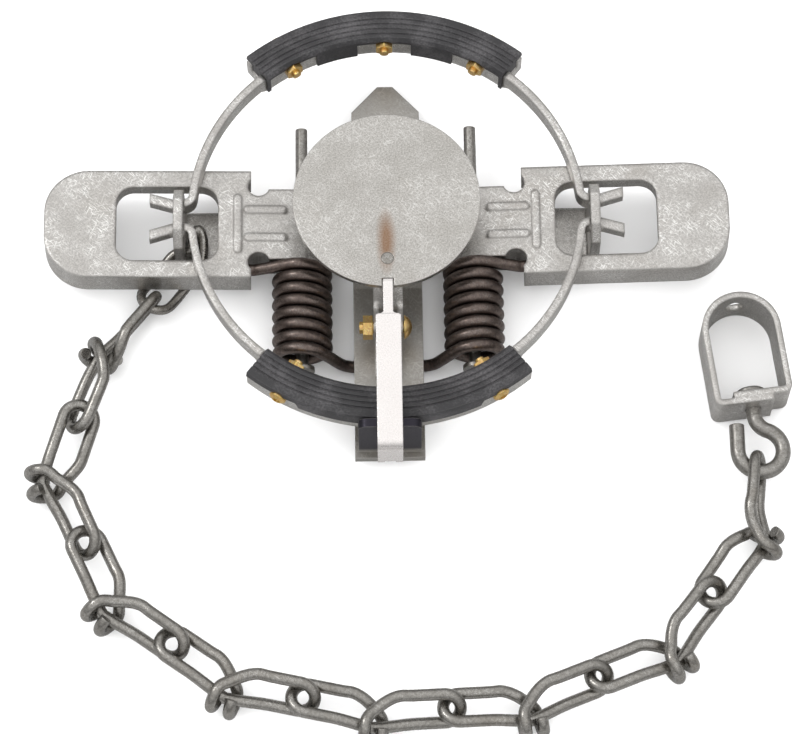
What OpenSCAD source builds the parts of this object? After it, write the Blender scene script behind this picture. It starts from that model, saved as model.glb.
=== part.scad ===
// Padded-jaw foothold trap with two coil springs, drawn set, with its knotted chain and swivel hook.
// X runs along the spring levers, -Y is the side of the dog, Z = 0 is the ground.

/* [Base strip] */
// Width of the base strip
base_w = 21.2; // [20:0.1:24]
// Thickness of the base strip
base_t = 3.2; // [2.6:0.1:3.6]
// Outer radius of the bends between strip and posts
bend_r = 4; // [3.8:0.1:5]
// Distance from the jaw bar's middle line to a post's mid-plane
post_gap = 4.5; // [4.3:0.1:5.5]
// Metal of a post above the jaw pivots
post_over = 4.5; // [4:0.1:7]
// Corner cut at the top of a post
post_cut = 5; // [3:0.1:6]
// Height of the jaw pivots above the ground
pivot_z = 23; // [22.6:0.1:25]
// Distance of a jaw pivot from the middle plane
pivot_y = 4.35; // [4:0.05:5]
// Diameter of the hole for the chain's first link
anchor_hole_d = 7; // [6:0.1:7.4]
// Height of that hole
anchor_hole_z = 7.8; // [7.6:0.1:9]
// Distance of that hole from the middle plane
anchor_hole_y = 5.1; // [4.9:0.1:5.5]

/* [Cross member] */
// Width of the cross member
cross_w = 23; // [21:0.1:24]
// Thickness of the cross member
cross_t = 3; // [2.4:0.1:3.4]
// Reach of its pointed end on the far side
far_reach = 55.6; // [50:0.2:56]
// Width left at the pointed end
tip_w = 5.2; // [4:0.1:8]
// Length of the point
tip_run = 9.6; // [6:0.1:14]
// Rise of the near arm over the spring legs
joggle_h = 1.6; // [1.4:0.1:2.4]
// Distance from the middle at which the rise starts
joggle_y = 14; // [12:0.1:18]
// Length of the rise
joggle_run = 6; // [4:0.1:9]
// Clearance between the near pad and the upright tab
tab_gap = 1.6; // [1.5:0.1:3]
// Width of the upright tab
tab_w = 20.6; // [18:0.1:22]
// Reach of the strip's foot past the tab
foot_out = 1.6; // [1:0.1:1.8]
// Height of the upright tab
tab_top = 32.8; // [31:0.1:33.4]
// Radius of the tab's top corners
tab_corner = 3; // [1:0.1:6]
// Inner radius of the bend under the tab
tab_bend = 3; // [2:0.1:4]

/* [Rivets] */
// Diameter of the rivet shanks
rivet_d = 5; // [4:0.1:6]
// Diameter of the rivet heads
rivet_head_d = 8; // [7:0.1:9]
// Height of the rivet heads
rivet_head_h = 1.8; // [1.2:0.1:2.4]
// Distance of the two centre rivets from the middle
rivet_x = 6.5; // [5:0.1:7]

/* [Levers] */
// Thickness of the lever plate
lever_t = 2.5; // [2:0.1:2.8]
// Height of the lever's top face over its pin
lever_top = 6.8; // [6.6:0.1:7]
// Length from the pin to the outer end
lever_reach = 85.8; // [80:0.2:88]
// Plate behind the pin
lever_back = 1.8; // [1:0.1:3]
// Half width of the neck
neck_half = 12.6; // [12.4:0.1:12.7]
// Length of the neck
neck_len = 17; // [16:0.1:18]
// Half width of the wide part
wide_half = 19.2; // [19:0.1:19.8]
// Depth of the side flanges
flange_depth = 11.2; // [10:0.1:11.4]
// Radius of the outer corners
lever_corner = 15; // [8:0.1:16]
// Reach of the window from the post towards the pin
window_in = 12.6; // [11:0.1:14]
// Reach of the window from the post towards the outer end
window_out = 21.4; // [18:0.1:23]
// Half width of the window
window_half = 13.35; // [12.6:0.05:13.8]
// Corner radius of the window
window_r = 6; // [4:0.1:8]
// Thickness of the lip round the window
lip_t = 2; // [1.2:0.1:2.4]
// Depth of that lip under the plate
lip_depth = 3; // [2:0.1:4]
// Height of the pressed beads
bead_h = 0.8; // [0.4:0.1:0.9]
// Width of the pressed beads
bead_w = 2.7; // [2:0.1:3.4]
// Rise of the levers when the trap is set, in degrees
lever_slope = 2.5; // [1.5:0.1:2.5]
// Distance of the lever pins from the middle
pin_x = 28.5; // [28:0.1:29]
// Height of the lever pins
pin_z = 10.3; // [10.2:0.1:10.4]
// Diameter of the lever pins
pin_d = 4; // [3.6:0.1:4.6]
// Reach of the pins on the far side
pin_far = 37.5; // [30:0.1:40]
// Reach of the pins on the near side
pin_near = 49; // [48:0.1:50]
// Thickness of the cheeks that carry the pins
cheek_t = 2.5; // [2:0.1:3]

/* [Springs] */
// Wire of the springs
spring_d = 3.6; // [3:0.1:3.6]
// Mean diameter of the coils
coil_d = 16.3; // [15.6:0.1:16.6]
// Whole turns of each coil
coil_turns = 7; // [5:1:7]
// Advance per turn
coil_pitch = 4.3; // [4.2:0.1:4.4]

/* [Jaws] */
// Radius of the jaw bar's middle line
jaw_r = 64.6; // [64.2:0.1:65]
// Thickness of the jaw bar
jaw_t = 2.6; // [2:0.1:3]
// Height of the jaw bar
jaw_h = 6.5; // [6:0.1:6.6]
// Radius of the end bends
jaw_bend = 3; // [2.6:0.1:3.4]
// Diameter of the jaw journals
journal_d = 4.6; // [4:0.1:4.8]
// Reach of the flattened jaw tips past a post's mid-plane
tip_out = 9.5; // [7:0.1:12]
// Width of the pad channel outside the bar
channel_w = 7.3; // [7:0.1:7.4]
// Floor thickness of the channel
channel_floor = 1.8; // [1.4:0.1:2.2]
// Thickness of the channel's outer wall
channel_wall = 2.3; // [1.8:0.1:2.6]
// Height of the channel walls
channel_h = 5.45; // [5.2:0.05:5.6]
// Half span of a pad, in degrees
pad_half = 39; // [38.4:0.1:42]
// Height of the pad's cap
pad_h = 2.7; // [2:0.1:2.8]
// Overhang of the pad past the channel
pad_over = 0.7; // [0.6:0.05:0.9]
// Number of grooves along a pad
pad_grooves = 4; // [2:1:4]
// Angle between pad screws, in degrees
screw_step = 29.5; // [27:0.1:30]
// Diameter of the pad screws
screw_d = 3; // [2.5:0.1:3.2]
// Diameter of the screw heads
screw_head_d = 5.8; // [5:0.1:5.8]
// Height of the screw heads
screw_head_h = 1.7; // [1.2:0.1:1.7]
// Width across flats of the pad nuts
nut_af = 5.5; // [5:0.1:5.6]
// Thickness of the pad nuts
nut_h = 2.4; // [2:0.1:2.6]

/* [Pan] */
// Diameter of the pan
pan_d = 61.6; // [58:0.1:62]
// Thickness of the pan
pan_t = 2; // [1.6:0.1:2.4]
// Height of the pan's underside
pan_z = 34; // [33.6:0.1:34.4]
// Width of the slot for the dog's tongue
slot_w = 3.9; // [3.8:0.1:4.6]
// Distance of the slot's end from the middle
slot_end = 28; // [27:0.1:29]
// Distance of the pan bolt from the middle
bolt_y = 38.9; // [38:0.1:39.6]
// Height of the pan bolt
bolt_z = 20; // [19:0.1:21]
// Diameter of the pan bolt
bolt_d = 4; // [3.4:0.1:4.6]
// Width of the pan's shank
shank_w = 9.7; // [8:0.1:10.4]
// Thickness of the shank plate
shank_t = 1.8; // [1.4:0.1:2.2]
// Thickness of the bracket ears
ear_t = 1.5; // [1.2:0.1:1.7]
// Width across flats of the pan nut
pan_nut_af = 7; // [6.5:0.1:7.5]
// Thickness of the pan nut
pan_nut_h = 3.2; // [2.6:0.1:3.6]

/* [Dog] */
// Width of the dog bar
dog_w = 8.2; // [7.6:0.1:9]
// Thickness of the dog bar
dog_t = 3; // [2.4:0.1:3]
// Height of the dog bar's underside
dog_z = 34.5; // [34.4:0.1:34.8]
// Width of the dog's tongue
tongue_w = 3.2; // [2.6:0.1:3.3]
// Step down to the tongue
tongue_drop = 1; // [0.6:0.1:1.2]
// Start of the tongue from the middle
tongue_y = 41; // [38:0.1:44]
// Distance of the dog's hinge from the tab
dog_gap = 5.2; // [5:0.1:5.6]
// Height of the dog's hinge
dog_hinge_z = 22; // [21.6:0.1:22.4]
// Diameter of the dog's pin
dog_pin_d = 2.4; // [2:0.1:2.6]
// Thickness of the lug that carries it
lug_t = 3; // [2.4:0.1:3.2]

/* [Chain] */
// Wire of the chain links
chain_d = 3.9; // [3.5:0.1:3.9]
// Half length of a link along its wire's middle line
chain_l = 27.2; // [27:0.1:27.6]
// Half width of a link's loops along the same line
chain_half = 5.2; // [5.2:0.1:5.4]
// Clearance between two hooked loops
chain_gap = 0.7; // [0.6:0.05:0.9]
// Clearance inside a knot
knot_gap = 0.9; // [0.8:0.05:1.1]
// Wire of the first, plain link
anchor_d = 3.2; // [2.8:0.1:3.2]
// Half width of that link
anchor_half = 5.4; // [5.2:0.1:5.5]
// Straight length of that link
anchor_leg = 13; // [12.8:0.1:13.4]

/* [Swivel] */
// Wire of the hook
hook_d = 5; // [4.4:0.1:5]
// Radius of the hook's eye
hook_r = 7.4; // [7.2:0.1:8]
// Width of the strap
strap_w = 26; // [24:0.1:28]
// Length of the strap
strap_l = 39; // [36:0.1:40]
// Height of the strap
strap_h = 16; // [14:0.1:17]
// Thickness of the strap
strap_t = 2; // [1.6:0.1:2.4]
// Diameter of the hole in the strap's bow
bow_hole_d = 6; // [5:0.1:7]

/* [Hidden] */
$fn = 64;

steel = "#BDBBB6";
dull_steel = "#8A8883";
chain_grey = "#7D7A73";
spring_steel = "#463E3A";
rubber = "#48484C";
yellow_zinc = "#B79A52";

// Clearances: fixed fit, soft fit, running fit, free space
fit = 0.05;
play = 0.1;
run = 0.15;
free = 0.3;
// Overlap of joined solids, and run of a cut past its wall
sink = 0.5;
past = 1;
// Length that passes right through any wall
through = 400;

post_x = jaw_r + post_gap;
post_top = pivot_z + post_over;
base_end = post_x + base_t / 2;
post_in = post_x - base_t / 2;
arm_top = base_t + cross_t;
near_z = base_t + joggle_h;
near_top = near_z + cross_t;
window_from = post_x - pin_x - window_in;
window_to = post_x - pin_x + window_out;
tip_reach = post_x + tip_out;

// Metal round the holes of pin cheeks, lever ears, bracket, shank, lug and dog
cheek_rim = 1.8;
lever_rim = 2.5;
ear_rim = 2.5;
shank_rim = 1.5;
lug_rim = 0.9;
eye_rim = 1.6;
cheek_out = neck_half - lever_t - free - play;
cheek_r = pin_d / 2 + cheek_rim;
bolt_ear_r = bolt_d / 2 + ear_rim;
lug_r = dog_pin_d / 2 + lug_rim;
eye_r = dog_pin_d / 2 + eye_rim;

// Foot of the pan bracket: width, then ends and rivet as seen from the bolt
bracket_w = 9;
bracket_out = 13;
bracket_in = 5.5;
bracket_rivet = 9;
bracket_near = bolt_y + bracket_out;
bracket_far = bolt_y - bracket_in;
bracket_rivet_y = bolt_y + bracket_rivet;

// Pan's shank and its rivet: pad under the pan, bend and rivet as seen from the slot's end
shank_pad = 16;
shank_knee = 1.4;
shank_over = 3;
pan_rivet_in = 7;
pan_rivet_d = 4;
pan_rivet_rim = 1.2;
pan_rivet_h = 1.4;
pan_rivet_y = slot_end - pan_rivet_in;
bolt_tip = 1.2;
bolt_head_h = 2.7;
shank_in = shank_w / 2 - shank_t;
ear_out = shank_in - free - fit;
ear_in = ear_out - ear_t;

// Dog: space round the lug, stand-off of its plate, inner bend and end of the tongue
cheek_gap = lug_t / 2 + free + fit;
dog_back = 0.6;
dog_bend = 1;
tongue_end = slot_end + free + fit;

// Two-dimensional helpers

// Bar with round ends from p to q
module stadium(p, q, w) {
    d = q - p;
    translate(p) circle(d = w);
    translate(q) circle(d = w);
    translate(p) rotate(atan2(d[1], d[0])) translate([0, -w / 2]) square([norm(d), w]);
}

// Upright rectangle about the middle, with its lower corners rounded
module trough(half, bottom, top, r) {
    translate([-half, bottom + r]) square([2 * half, top - bottom - r]);
    translate([-half + r, bottom]) square([2 * half - 2 * r, top - bottom]);
    for (s = [-1, 1]) translate([s * (half - r), bottom + r]) circle(r);
}

// Rectangle with four round corners
module rounded(a, b, r) {
    translate([a[0] + r, a[1]]) square([b[0] - a[0] - 2 * r, b[1] - a[1]]);
    translate([a[0], a[1] + r]) square([b[0] - a[0], b[1] - a[1] - 2 * r]);
    for (x = [a[0] + r, b[0] - r], y = [a[1] + r, b[1] - r]) translate([x, y]) circle(r);
}

// Profile in Y and Z, given a width along X
module across_x(w) {
    rotate([90, 0, 90]) linear_extrude(w, center = true) children();
}

// Profile in X and Z, given a width along Y
module across_y(w) {
    rotate([90, 0, 0]) linear_extrude(w, center = true) children();
}

// Round bar along X or Y
module rod_x(d, x0, x1) {
    translate([x0, 0, 0]) rotate([0, 90, 0]) cylinder(d = d, h = x1 - x0);
}

module rod_y(d, y0, y1) {
    translate([0, y1, 0]) rotate([90, 0, 0]) cylinder(d = d, h = y1 - y0);
}

// Domed head on the plane z = 0
module dome(d, h) {
    r = (d * d / 4 + h * h) / (2 * h);
    intersection() {
        translate([0, 0, h - r]) sphere(r);
        cylinder(d = d, h = h);
    }
}

// Wire forms

function unit(v) = v / norm(v);
function heading(h, p) = [cos(h) * cos(p), sin(h) * cos(p), sin(p)];
function tangents(p) = [for (i = [0:len(p) - 1]) unit(p[min(i + 1, len(p) - 1)] - p[max(i - 1, 0)])];
function carry(n, t) = unit(n - (n * t) * t);
function normals(t, n0) = [for (i = 0, n = carry(n0, t[0]); i < len(t);
    i = i + 1, n = carry(n, t[min(i, len(t) - 1)])) n];

// Wire of k sides along the points p, with flat ends
module wire(p, d, k, n0) {
    t = tangents(p);
    n = normals(t, n0);
    m = len(p);
    pts = [for (i = [0:m - 1], j = [0:k - 1])
        p[i] + d / 2 * (cos(360 * j / k) * n[i] + sin(360 * j / k) * cross(t[i], n[i]))];
    sides = [for (i = [0:m - 2], j = [0:k - 1], f = [0, 1])
        let (a = i * k + j, b = i * k + (j + 1) % k)
        f == 0 ? [a, a + k, b + k] : [a, b + k, b]];
    caps = [for (j = [1:k - 2], f = [0, 1])
        f == 0 ? [0, j, j + 1] : [(m - 1) * k, (m - 1) * k + j + 1, (m - 1) * k + j]];
    polyhedron(pts, concat(sides, caps));
}

// Closed ring of wire along the points p, which lie nearly level
module wire_ring(p, d, k) {
    m = len(p);
    t = [for (i = [0:m - 1]) unit(p[(i + 1) % m] - p[(i + m - 1) % m])];
    n = [for (i = [0:m - 1]) unit(cross(t[i], [0, 0, 1]))];
    pts = [for (i = [0:m - 1], j = [0:k - 1])
        p[i] + d / 2 * (cos(360 * j / k) * n[i] + sin(360 * j / k) * cross(t[i], n[i]))];
    faces = [for (i = [0:m - 1], j = [0:k - 1], f = [0, 1])
        let (a = i * k + j, b = i * k + (j + 1) % k, c = ((i + 1) % m) * k + j,
            e = ((i + 1) % m) * k + (j + 1) % k)
        f == 0 ? [a, c, e] : [a, e, b]];
    polyhedron(pts, faces);
}

// Base strip with its two posts and the four pin cheeks

module base_strip() {
    color(steel) {
        difference() {
            intersection() {
                across_y(base_w) difference() {
                    trough(base_end, 0, post_top, bend_r);
                    trough(post_in, base_t, post_top + past, bend_r - base_t);
                }
                across_x(through) polygon([[-base_w / 2, 0], [base_w / 2, 0],
                    [base_w / 2, post_top - post_cut], [base_w / 2 - post_cut, post_top],
                    [post_cut - base_w / 2, post_top], [-base_w / 2, post_top - post_cut]]);
            }
            for (s = [-1, 1]) translate([0, s * pivot_y, pivot_z])
                rod_x(journal_d + 2 * run, -base_end - past, base_end + past);
            translate([0, -anchor_hole_y, anchor_hole_z])
                rod_x(anchor_hole_d, -base_end - past, -post_in + past);
            for (s = [-1, 1]) translate([s * rivet_x, 0, -past])
                cylinder(d = rivet_d + 2 * fit, h = base_t + 2 * past);
        }
        for (sx = [-1, 1], sy = [-1, 1]) translate([sx * pin_x, sy * (cheek_out - cheek_t / 2), pin_z])
            across_y(cheek_t) difference() {
                union() {
                    circle(cheek_r);
                    translate([-cheek_r, base_t - sink - pin_z])
                        square([2 * cheek_r, pin_z - base_t + sink]);
                }
                circle(d = pin_d + 2 * fit);
            }
    }
}

// Cross member: pointed far arm, raised near arm, upright tab and the lug of the dog

module cross_side() {
    tab_out = tab_y + cross_t;
    polygon([[far_reach, base_t], [far_reach, arm_top], [-joggle_y, arm_top],
        [-joggle_y - joggle_run, near_top], [tab_bend - tab_y, near_top], [tab_bend - tab_y, near_z],
        [-joggle_y - joggle_run, near_z], [-joggle_y, base_t]]);
    translate([tab_bend - tab_y, near_top + tab_bend]) intersection() {
        difference() {
            circle(tab_bend + cross_t);
            circle(tab_bend);
        }
        translate([-tab_bend - cross_t, -tab_bend - cross_t]) square(tab_bend + cross_t);
    }
    translate([-tab_out, near_top + tab_bend]) square([cross_t, tab_top - near_top - tab_bend]);
    translate([-tab_out - foot_out, near_z]) square([tab_bend + cross_t + foot_out, cross_t]);
}

module lug_side() {
    translate([-dog_y, dog_hinge_z]) circle(lug_r);
    translate([-dog_y, dog_hinge_z - lug_r]) square([dog_y - tab_y - cross_t / 2, 2 * lug_r]);
}

module cross_member() {
    color(steel) difference() {
        union() {
            intersection() {
                across_x(cross_w) cross_side();
                union() {
                    linear_extrude(near_top + sink) polygon([[-cross_w / 2, -through],
                        [cross_w / 2, -through], [cross_w / 2, far_reach - tip_run], [tip_w / 2, far_reach],
                        [-tip_w / 2, far_reach], [-cross_w / 2, far_reach - tip_run]]);
                    translate([0, -tab_y, 0]) across_y(4 * cross_t) rounded([-tab_w / 2, near_z],
                        [tab_w / 2, tab_top], tab_corner);
                }
            }
            across_x(lug_t) lug_side();
        }
        translate([0, -dog_y, dog_hinge_z]) rod_x(dog_pin_d + 2 * fit, -lug_t, lug_t);
        for (s = [-1, 1]) translate([s * rivet_x, 0, 0])
            cylinder(d = rivet_d + 2 * fit, h = arm_top + past);
        translate([0, -bracket_rivet_y, 0]) cylinder(d = rivet_d + 2 * fit, h = near_top + past);
    }
}

module rivet(foot, seat) {
    translate([0, 0, foot]) cylinder(d = rivet_d, h = seat - foot + sink);
    translate([0, 0, seat]) dome(rivet_head_d, rivet_head_h);
}

module base_rivets() {
    color(dull_steel) {
        for (s = [-1, 1]) translate([s * rivet_x, 0, 0]) rivet(0, arm_top);
        translate([0, -bracket_rivet_y, 0]) rivet(near_z, near_top + ear_t);
    }
}

module pan_bracket() {
    color(steel) difference() {
        union() {
            difference() {
                across_x(2 * ear_out) translate([-bolt_y, 0]) {
                    translate([0, bolt_z]) circle(bolt_ear_r);
                    translate([-bolt_ear_r, near_top]) square([2 * bolt_ear_r, bolt_z - near_top]);
                }
                translate([-ear_in, -through / 2, near_top + ear_t])
                    cube([2 * ear_in, through, bolt_z * 2]);
            }
            translate([-bracket_w / 2, -bracket_near, near_top])
                cube([bracket_w, bracket_near - bracket_far, ear_t]);
        }
        translate([0, -bolt_y, bolt_z]) rod_x(bolt_d + 2 * fit, -ear_out - past, ear_out + past);
        translate([0, -bracket_rivet_y, 0]) cylinder(d = rivet_d + 2 * fit, h = bolt_z);
    }
}

// Spring levers: pressed plates with flanges, a lipped window and beads

module lever_plan(inset) {
    w = wide_half - inset;
    end = lever_reach - inset;
    r = lever_corner - inset;
    translate([-lever_back - 2 * inset, inset - neck_half])
        square([neck_len + lever_back + 4 * inset, 2 * (neck_half - inset)]);
    translate([neck_len + inset, -w]) square([end - r - neck_len - inset, 2 * w]);
    translate([neck_len + inset, r - w]) square([end - neck_len - inset, 2 * (w - r)]);
    for (s = [-1, 1]) translate([end - r, s * (w - r)]) circle(r);
}

module window_plan(grow) {
    half = window_half + grow;
    rounded([window_from - grow, -half], [window_to + grow, half], window_r + grow);
}

module lever_flat() {
    under = lever_top - lever_t;
    foot = lever_top - flange_depth;
    cut = under - foot + past;
    relief_r = 3.6;
    relief_back = 2.5;
    relief_out = 1.2;
    ear_r = pin_d / 2 + lever_rim;
    ear_run = 6;
    end_cut = 4;
    bead_x = window_from - 6.5;
    bead_half = 9.3;
    bead_from = 6.4;
    bead_to = window_from - 10;
    bead_y = 5;
    difference() {
        union() {
            difference() {
                translate([0, 0, foot]) linear_extrude(flange_depth) lever_plan(0);
                translate([0, 0, foot - past]) linear_extrude(cut) lever_plan(lever_t);
                for (s = [-1, 1])
                    translate([neck_len - sink, s > 0 ? neck_half : lever_t - wide_half, foot - past])
                        cube([lever_t + 2 * sink, wide_half - neck_half - lever_t, cut]);
                translate([-through, -through / 2, foot - past]) cube([through, through, flange_depth]);
                translate([lever_reach - lever_corner - end_cut, 0, foot]) rotate([0, 45, 0])
                    translate([0, -through / 2, -through / 2]) cube([through / 2, through, through / 2]);
            }
            translate([-lever_back, -neck_half, under]) cube([neck_len, 2 * neck_half, lever_t]);
            translate([0, 0, under]) linear_extrude(lever_t) lever_plan(0);
            for (s = [-1, 1]) translate([0, s * (neck_half - lever_t / 2), 0]) across_y(lever_t) {
                circle(ear_r);
                translate([-lever_back, 0]) square([lever_back + ear_run, lever_top - sink]);
                translate([0, -ear_r]) square([ear_run, lever_top]);
            }
            translate([0, 0, under - lip_depth]) linear_extrude(lip_depth + sink) window_plan(lip_t);
            translate([0, 0, lever_top - sink]) linear_extrude(bead_h + sink) {
                stadium([bead_x, -bead_half], [bead_x, bead_half], bead_w);
                for (s = [-1, 1]) stadium([bead_from, s * bead_y], [bead_to, s * bead_y], bead_w);
            }
        }
        translate([0, 0, foot - past]) linear_extrude(flange_depth + bead_h + 2 * past) window_plan(0);
        for (s = [-1, 1]) {
            translate([neck_len - relief_back, s * (neck_half + relief_out), foot - past])
                cylinder(r = relief_r, h = flange_depth + 2 * past);
            translate([0, s * neck_half, 0]) rod_y(pin_d + 2 * run, -2 * lever_t, 2 * lever_t);
        }
    }
}

module lever(side) {
    color(steel) mirror([side < 0 ? 1 : 0, 0, 0]) translate([pin_x, 0, pin_z])
        rotate([0, -lever_slope, 0]) lever_flat();
}

module lever_pin(side) {
    head_h = 1.5;
    color(dull_steel) translate([side * pin_x, 0, pin_z]) {
        rod_y(pin_d, -pin_near, pin_far);
        rod_y(2 * pin_d, -pin_near - head_h, -pin_near);
    }
}

// Coil springs: outer leg under the lever, coil round the pin, inner leg under the cross member

leg_y = -(neck_half + wide_half - lever_t) / 2;
leg_rise = tan(lever_slope);
leg_under = lever_top - lever_t - free - spring_d / 2;
leg_reach = 25;
knee_back = 1.5;
knee_drop = 0.25;
tip_drop = 0.2;
leg_knee = [neck_len - knee_back, leg_under + (neck_len - 2 * knee_back) * leg_rise - knee_drop];
leg_tip = [leg_reach, leg_under + leg_reach * leg_rise - tip_drop];
leg_turn = atan2(leg_knee[1], leg_knee[0]) + acos(coil_d / 2 / norm(leg_knee));
foot_turn = 150;
foot_dip = 60;
foot_ease = [1.6, 0.3];
foot_x = 7;
coil_sweep = 360 * coil_turns + foot_turn - leg_turn;
coil_rings = ceil(coil_sweep / 45);
foot_y = leg_y - coil_sweep / 360 * coil_pitch;
foot_z = -coil_d / 2 + fit;
foot_off = coil_d / 2 * [cos(foot_turn), sin(foot_turn)];
foot_run = (foot_off[1] - foot_z) / tan(foot_dip);
foot_end = foot_x - pin_x;
spring_path = concat(
    [for (f = [0, 0.45, 0.9, 1]) let (q = leg_tip + f * (leg_knee - leg_tip)) [q[0], leg_y, q[1]]],
    [for (i = [0:coil_rings]) let (a = leg_turn + coil_sweep * i / coil_rings)
        [coil_d / 2 * cos(a), leg_y + (foot_y - leg_y) * i / coil_rings, coil_d / 2 * sin(a)]],
    [for (f = [0.45, 0.85]) [foot_off[0] - f * foot_run, foot_y, foot_off[1] - f * (foot_off[1] - foot_z)]],
    [[foot_off[0] - foot_run - foot_ease[0], foot_y, foot_z + foot_ease[1]]],
    [for (x = [foot_end + spring_d, foot_end]) [x, foot_y, foot_z]]);
spring_gap = min([for (i = [0:len(spring_path) - 1], j = [0:len(spring_path) - 1])
    if (j > i + 5) norm(spring_path[i] - spring_path[j])]) - spring_d;
echo(spring_gap = spring_gap);

module spring(side) {
    color(spring_steel) mirror([side < 0 ? 1 : 0, 0, 0]) translate([pin_x, 0, pin_z])
        wire(spring_path, spring_d, 6, [0, 1, 0]);
}

// Jaws: bent bars with a channel for the pad

bar_in = jaw_r - jaw_t / 2;
bar_out = jaw_r + jaw_t / 2;
jaw_low = pivot_z - jaw_h / 2;
jaw_start = asin((pivot_y + jaw_bend) / (jaw_r + jaw_bend));
bend_at = (jaw_r + jaw_bend) * [cos(jaw_start), sin(jaw_start)];
channel_out = bar_out + channel_w;
channel_top = jaw_low + channel_h;
wall_in = channel_out - channel_wall;
floor_top = jaw_low + channel_floor;
// Spare length of the channel past the pad, in degrees, and height of the screws over its floor
channel_spare = 0.4;
screw_up = 1.75;
channel_from = 90 - pad_half - channel_spare;
screw_z = floor_top + screw_up;
// Overlap of bend and bar, in degrees, thinning of the bend, and flattening of the tips
seam = 4;
nip = 0.05;
tip_flat = 0.6;
screw_angles = [for (i = [-1:1]) 90 + i * screw_step];

// Profile in radius and Z swept about Z between two angles
module arc(from, to) {
    rotate([0, 0, from]) rotate_extrude(angle = to - from) children();
}

module at_screws() {
    for (a = screw_angles) rotate([0, 0, a]) translate([0, 0, screw_z]) children();
}

module jaw_end() {
    translate([bend_at[0], bend_at[1], 0]) arc(180 + jaw_start - seam, 270)
        translate([jaw_bend - jaw_t / 2 + nip, jaw_low + nip]) square([jaw_t - 2 * nip, jaw_h - 2 * nip]);
    translate([0, pivot_y, pivot_z]) {
        rod_x(journal_d, bend_at[0] - free, base_end + 2 * free + sink);
        translate([base_end + free, 0, 0]) rotate([0, 90, 0])
            linear_extrude(tip_reach - base_end - free) intersection() {
                circle(d = journal_d + tip_flat);
                square([journal_d - tip_flat, journal_d - 2 * tip_flat], center = true);
            }
    }
}

module jaw() {
    color(steel) difference() {
        union() {
            arc(jaw_start, 180 - jaw_start) translate([bar_in, jaw_low]) square([jaw_t, jaw_h]);
            jaw_end();
            mirror([1, 0, 0]) jaw_end();
            arc(channel_from, 180 - channel_from) polygon([[bar_out - sink, jaw_low],
                [channel_out, jaw_low], [channel_out, channel_top], [wall_in, channel_top],
                [wall_in, floor_top], [bar_out - sink, floor_top]]);
        }
        arc(channel_from, 180 - channel_from) translate([bar_in - past, channel_top])
            square([jaw_t + 2 * past, jaw_h]);
        at_screws() rod_x(screw_d + 2 * run, bar_in - past, channel_out + past);
    }
}

// Rubber pads: cap with grooves, tongue in the channel and two skirts

pad_in = bar_in - 2 * play - pad_over;
pad_out = channel_out + pad_over;
// Places of the tab and of the dog's hinge, outside the near pad
tab_y = pad_out + tab_gap;
dog_y = tab_y + cross_t + dog_gap;
pad_low = channel_top + play;
pad_top = pad_low + pad_h;
tongue_in = bar_out + play;
tongue_out = wall_in - play;
// Feet of the two skirts over the jaw's underside, and the gap in the inner one at a nut
skirt_up = 0.55;
outer_up = 2.25;
skirt_window = 18;
skirt_low = jaw_low + skirt_up;
outer_low = jaw_low + outer_up;
// Outer edge of the cap, rounded in two steps, and its inner edge
edge_out = 2.2;
edge_mid = [0.7, 0.8];
edge_in = 1.2;
// Grooves: from the two edges, half width and depth
groove_in = 2.6;
groove_out = 3.4;
groove_half = 0.45;
groove_depth = 0.6;
groove_from = pad_in + groove_in;
groove_step = (pad_out - groove_out - groove_from) / (pad_grooves - 1);

function grooves() = [for (i = [pad_grooves - 1:-1:0], k = [1, 0, -1])
    [groove_from + i * groove_step + k * groove_half, pad_top - (k == 0 ? groove_depth : 0)]];

module pad() {
    color(rubber) difference() {
        arc(90 - pad_half, 90 + pad_half) polygon(concat([[pad_in, skirt_low], [bar_in - play, skirt_low],
            [bar_in - play, pad_low], [tongue_in, pad_low], [tongue_in, floor_top + play],
            [tongue_out, floor_top + play], [tongue_out, pad_low], [channel_out + play, pad_low],
            [channel_out + play, outer_low], [pad_out, outer_low], [pad_out, pad_top - edge_out],
            [pad_out - edge_mid[0], pad_top - edge_mid[1]], [pad_out - edge_out, pad_top]], grooves(),
            [[pad_in + edge_in, pad_top], [pad_in, pad_top - edge_in]]));
        at_screws() {
            rod_x(screw_d + 2 * run + play, bar_in - past, channel_out + past);
            rod_x(screw_head_d + 2 * free, channel_out + fit, pad_out + past);
            rod_x(nut_af * 2 / sqrt(3) + 2 * free, pad_in - past, bar_in - fit);
            translate([pad_in - past, -skirt_window / 2, skirt_low - screw_z - past])
                cube([bar_in - fit - pad_in + past, skirt_window, pad_low - skirt_low + past]);
        }
    }
}

module pad_screws() {
    screw_tip = 1.3;
    slot_wide = 1;
    slot_deep = 0.7;
    color(yellow_zinc) at_screws() {
        rod_x(screw_d, bar_in - nut_h - screw_tip, channel_out + sink);
        difference() {
            translate([channel_out + fit, 0, 0]) rotate([0, 90, 0]) intersection() {
                cylinder(d = screw_head_d, h = screw_head_h);
                translate([0, 0, screw_head_h - screw_head_d]) sphere(screw_head_d);
            }
            translate([channel_out + screw_head_h - slot_deep, 0, 0]) for (t = [0, 90]) rotate([t, 0, 0])
                translate([0, -screw_head_d / 4, -slot_wide / 2])
                    cube([screw_head_h, screw_head_d / 2, slot_wide]);
        }
    }
}

module hex_nut(af, h, bore) {
    difference() {
        cylinder(d = af * 2 / sqrt(3), h = h, $fn = 6);
        translate([0, 0, -past]) cylinder(d = bore, h = h + 2 * past);
    }
}

module pad_nuts() {
    color(yellow_zinc) at_screws() translate([bar_in - fit - nut_h, 0, 0]) rotate([0, 90, 0])
        hex_nut(nut_af, nut_h, screw_d + 2 * fit);
}

module near_side() {
    mirror([0, 1, 0]) children();
}

// Pan, its shank, rivet, bolt and nut

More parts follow.
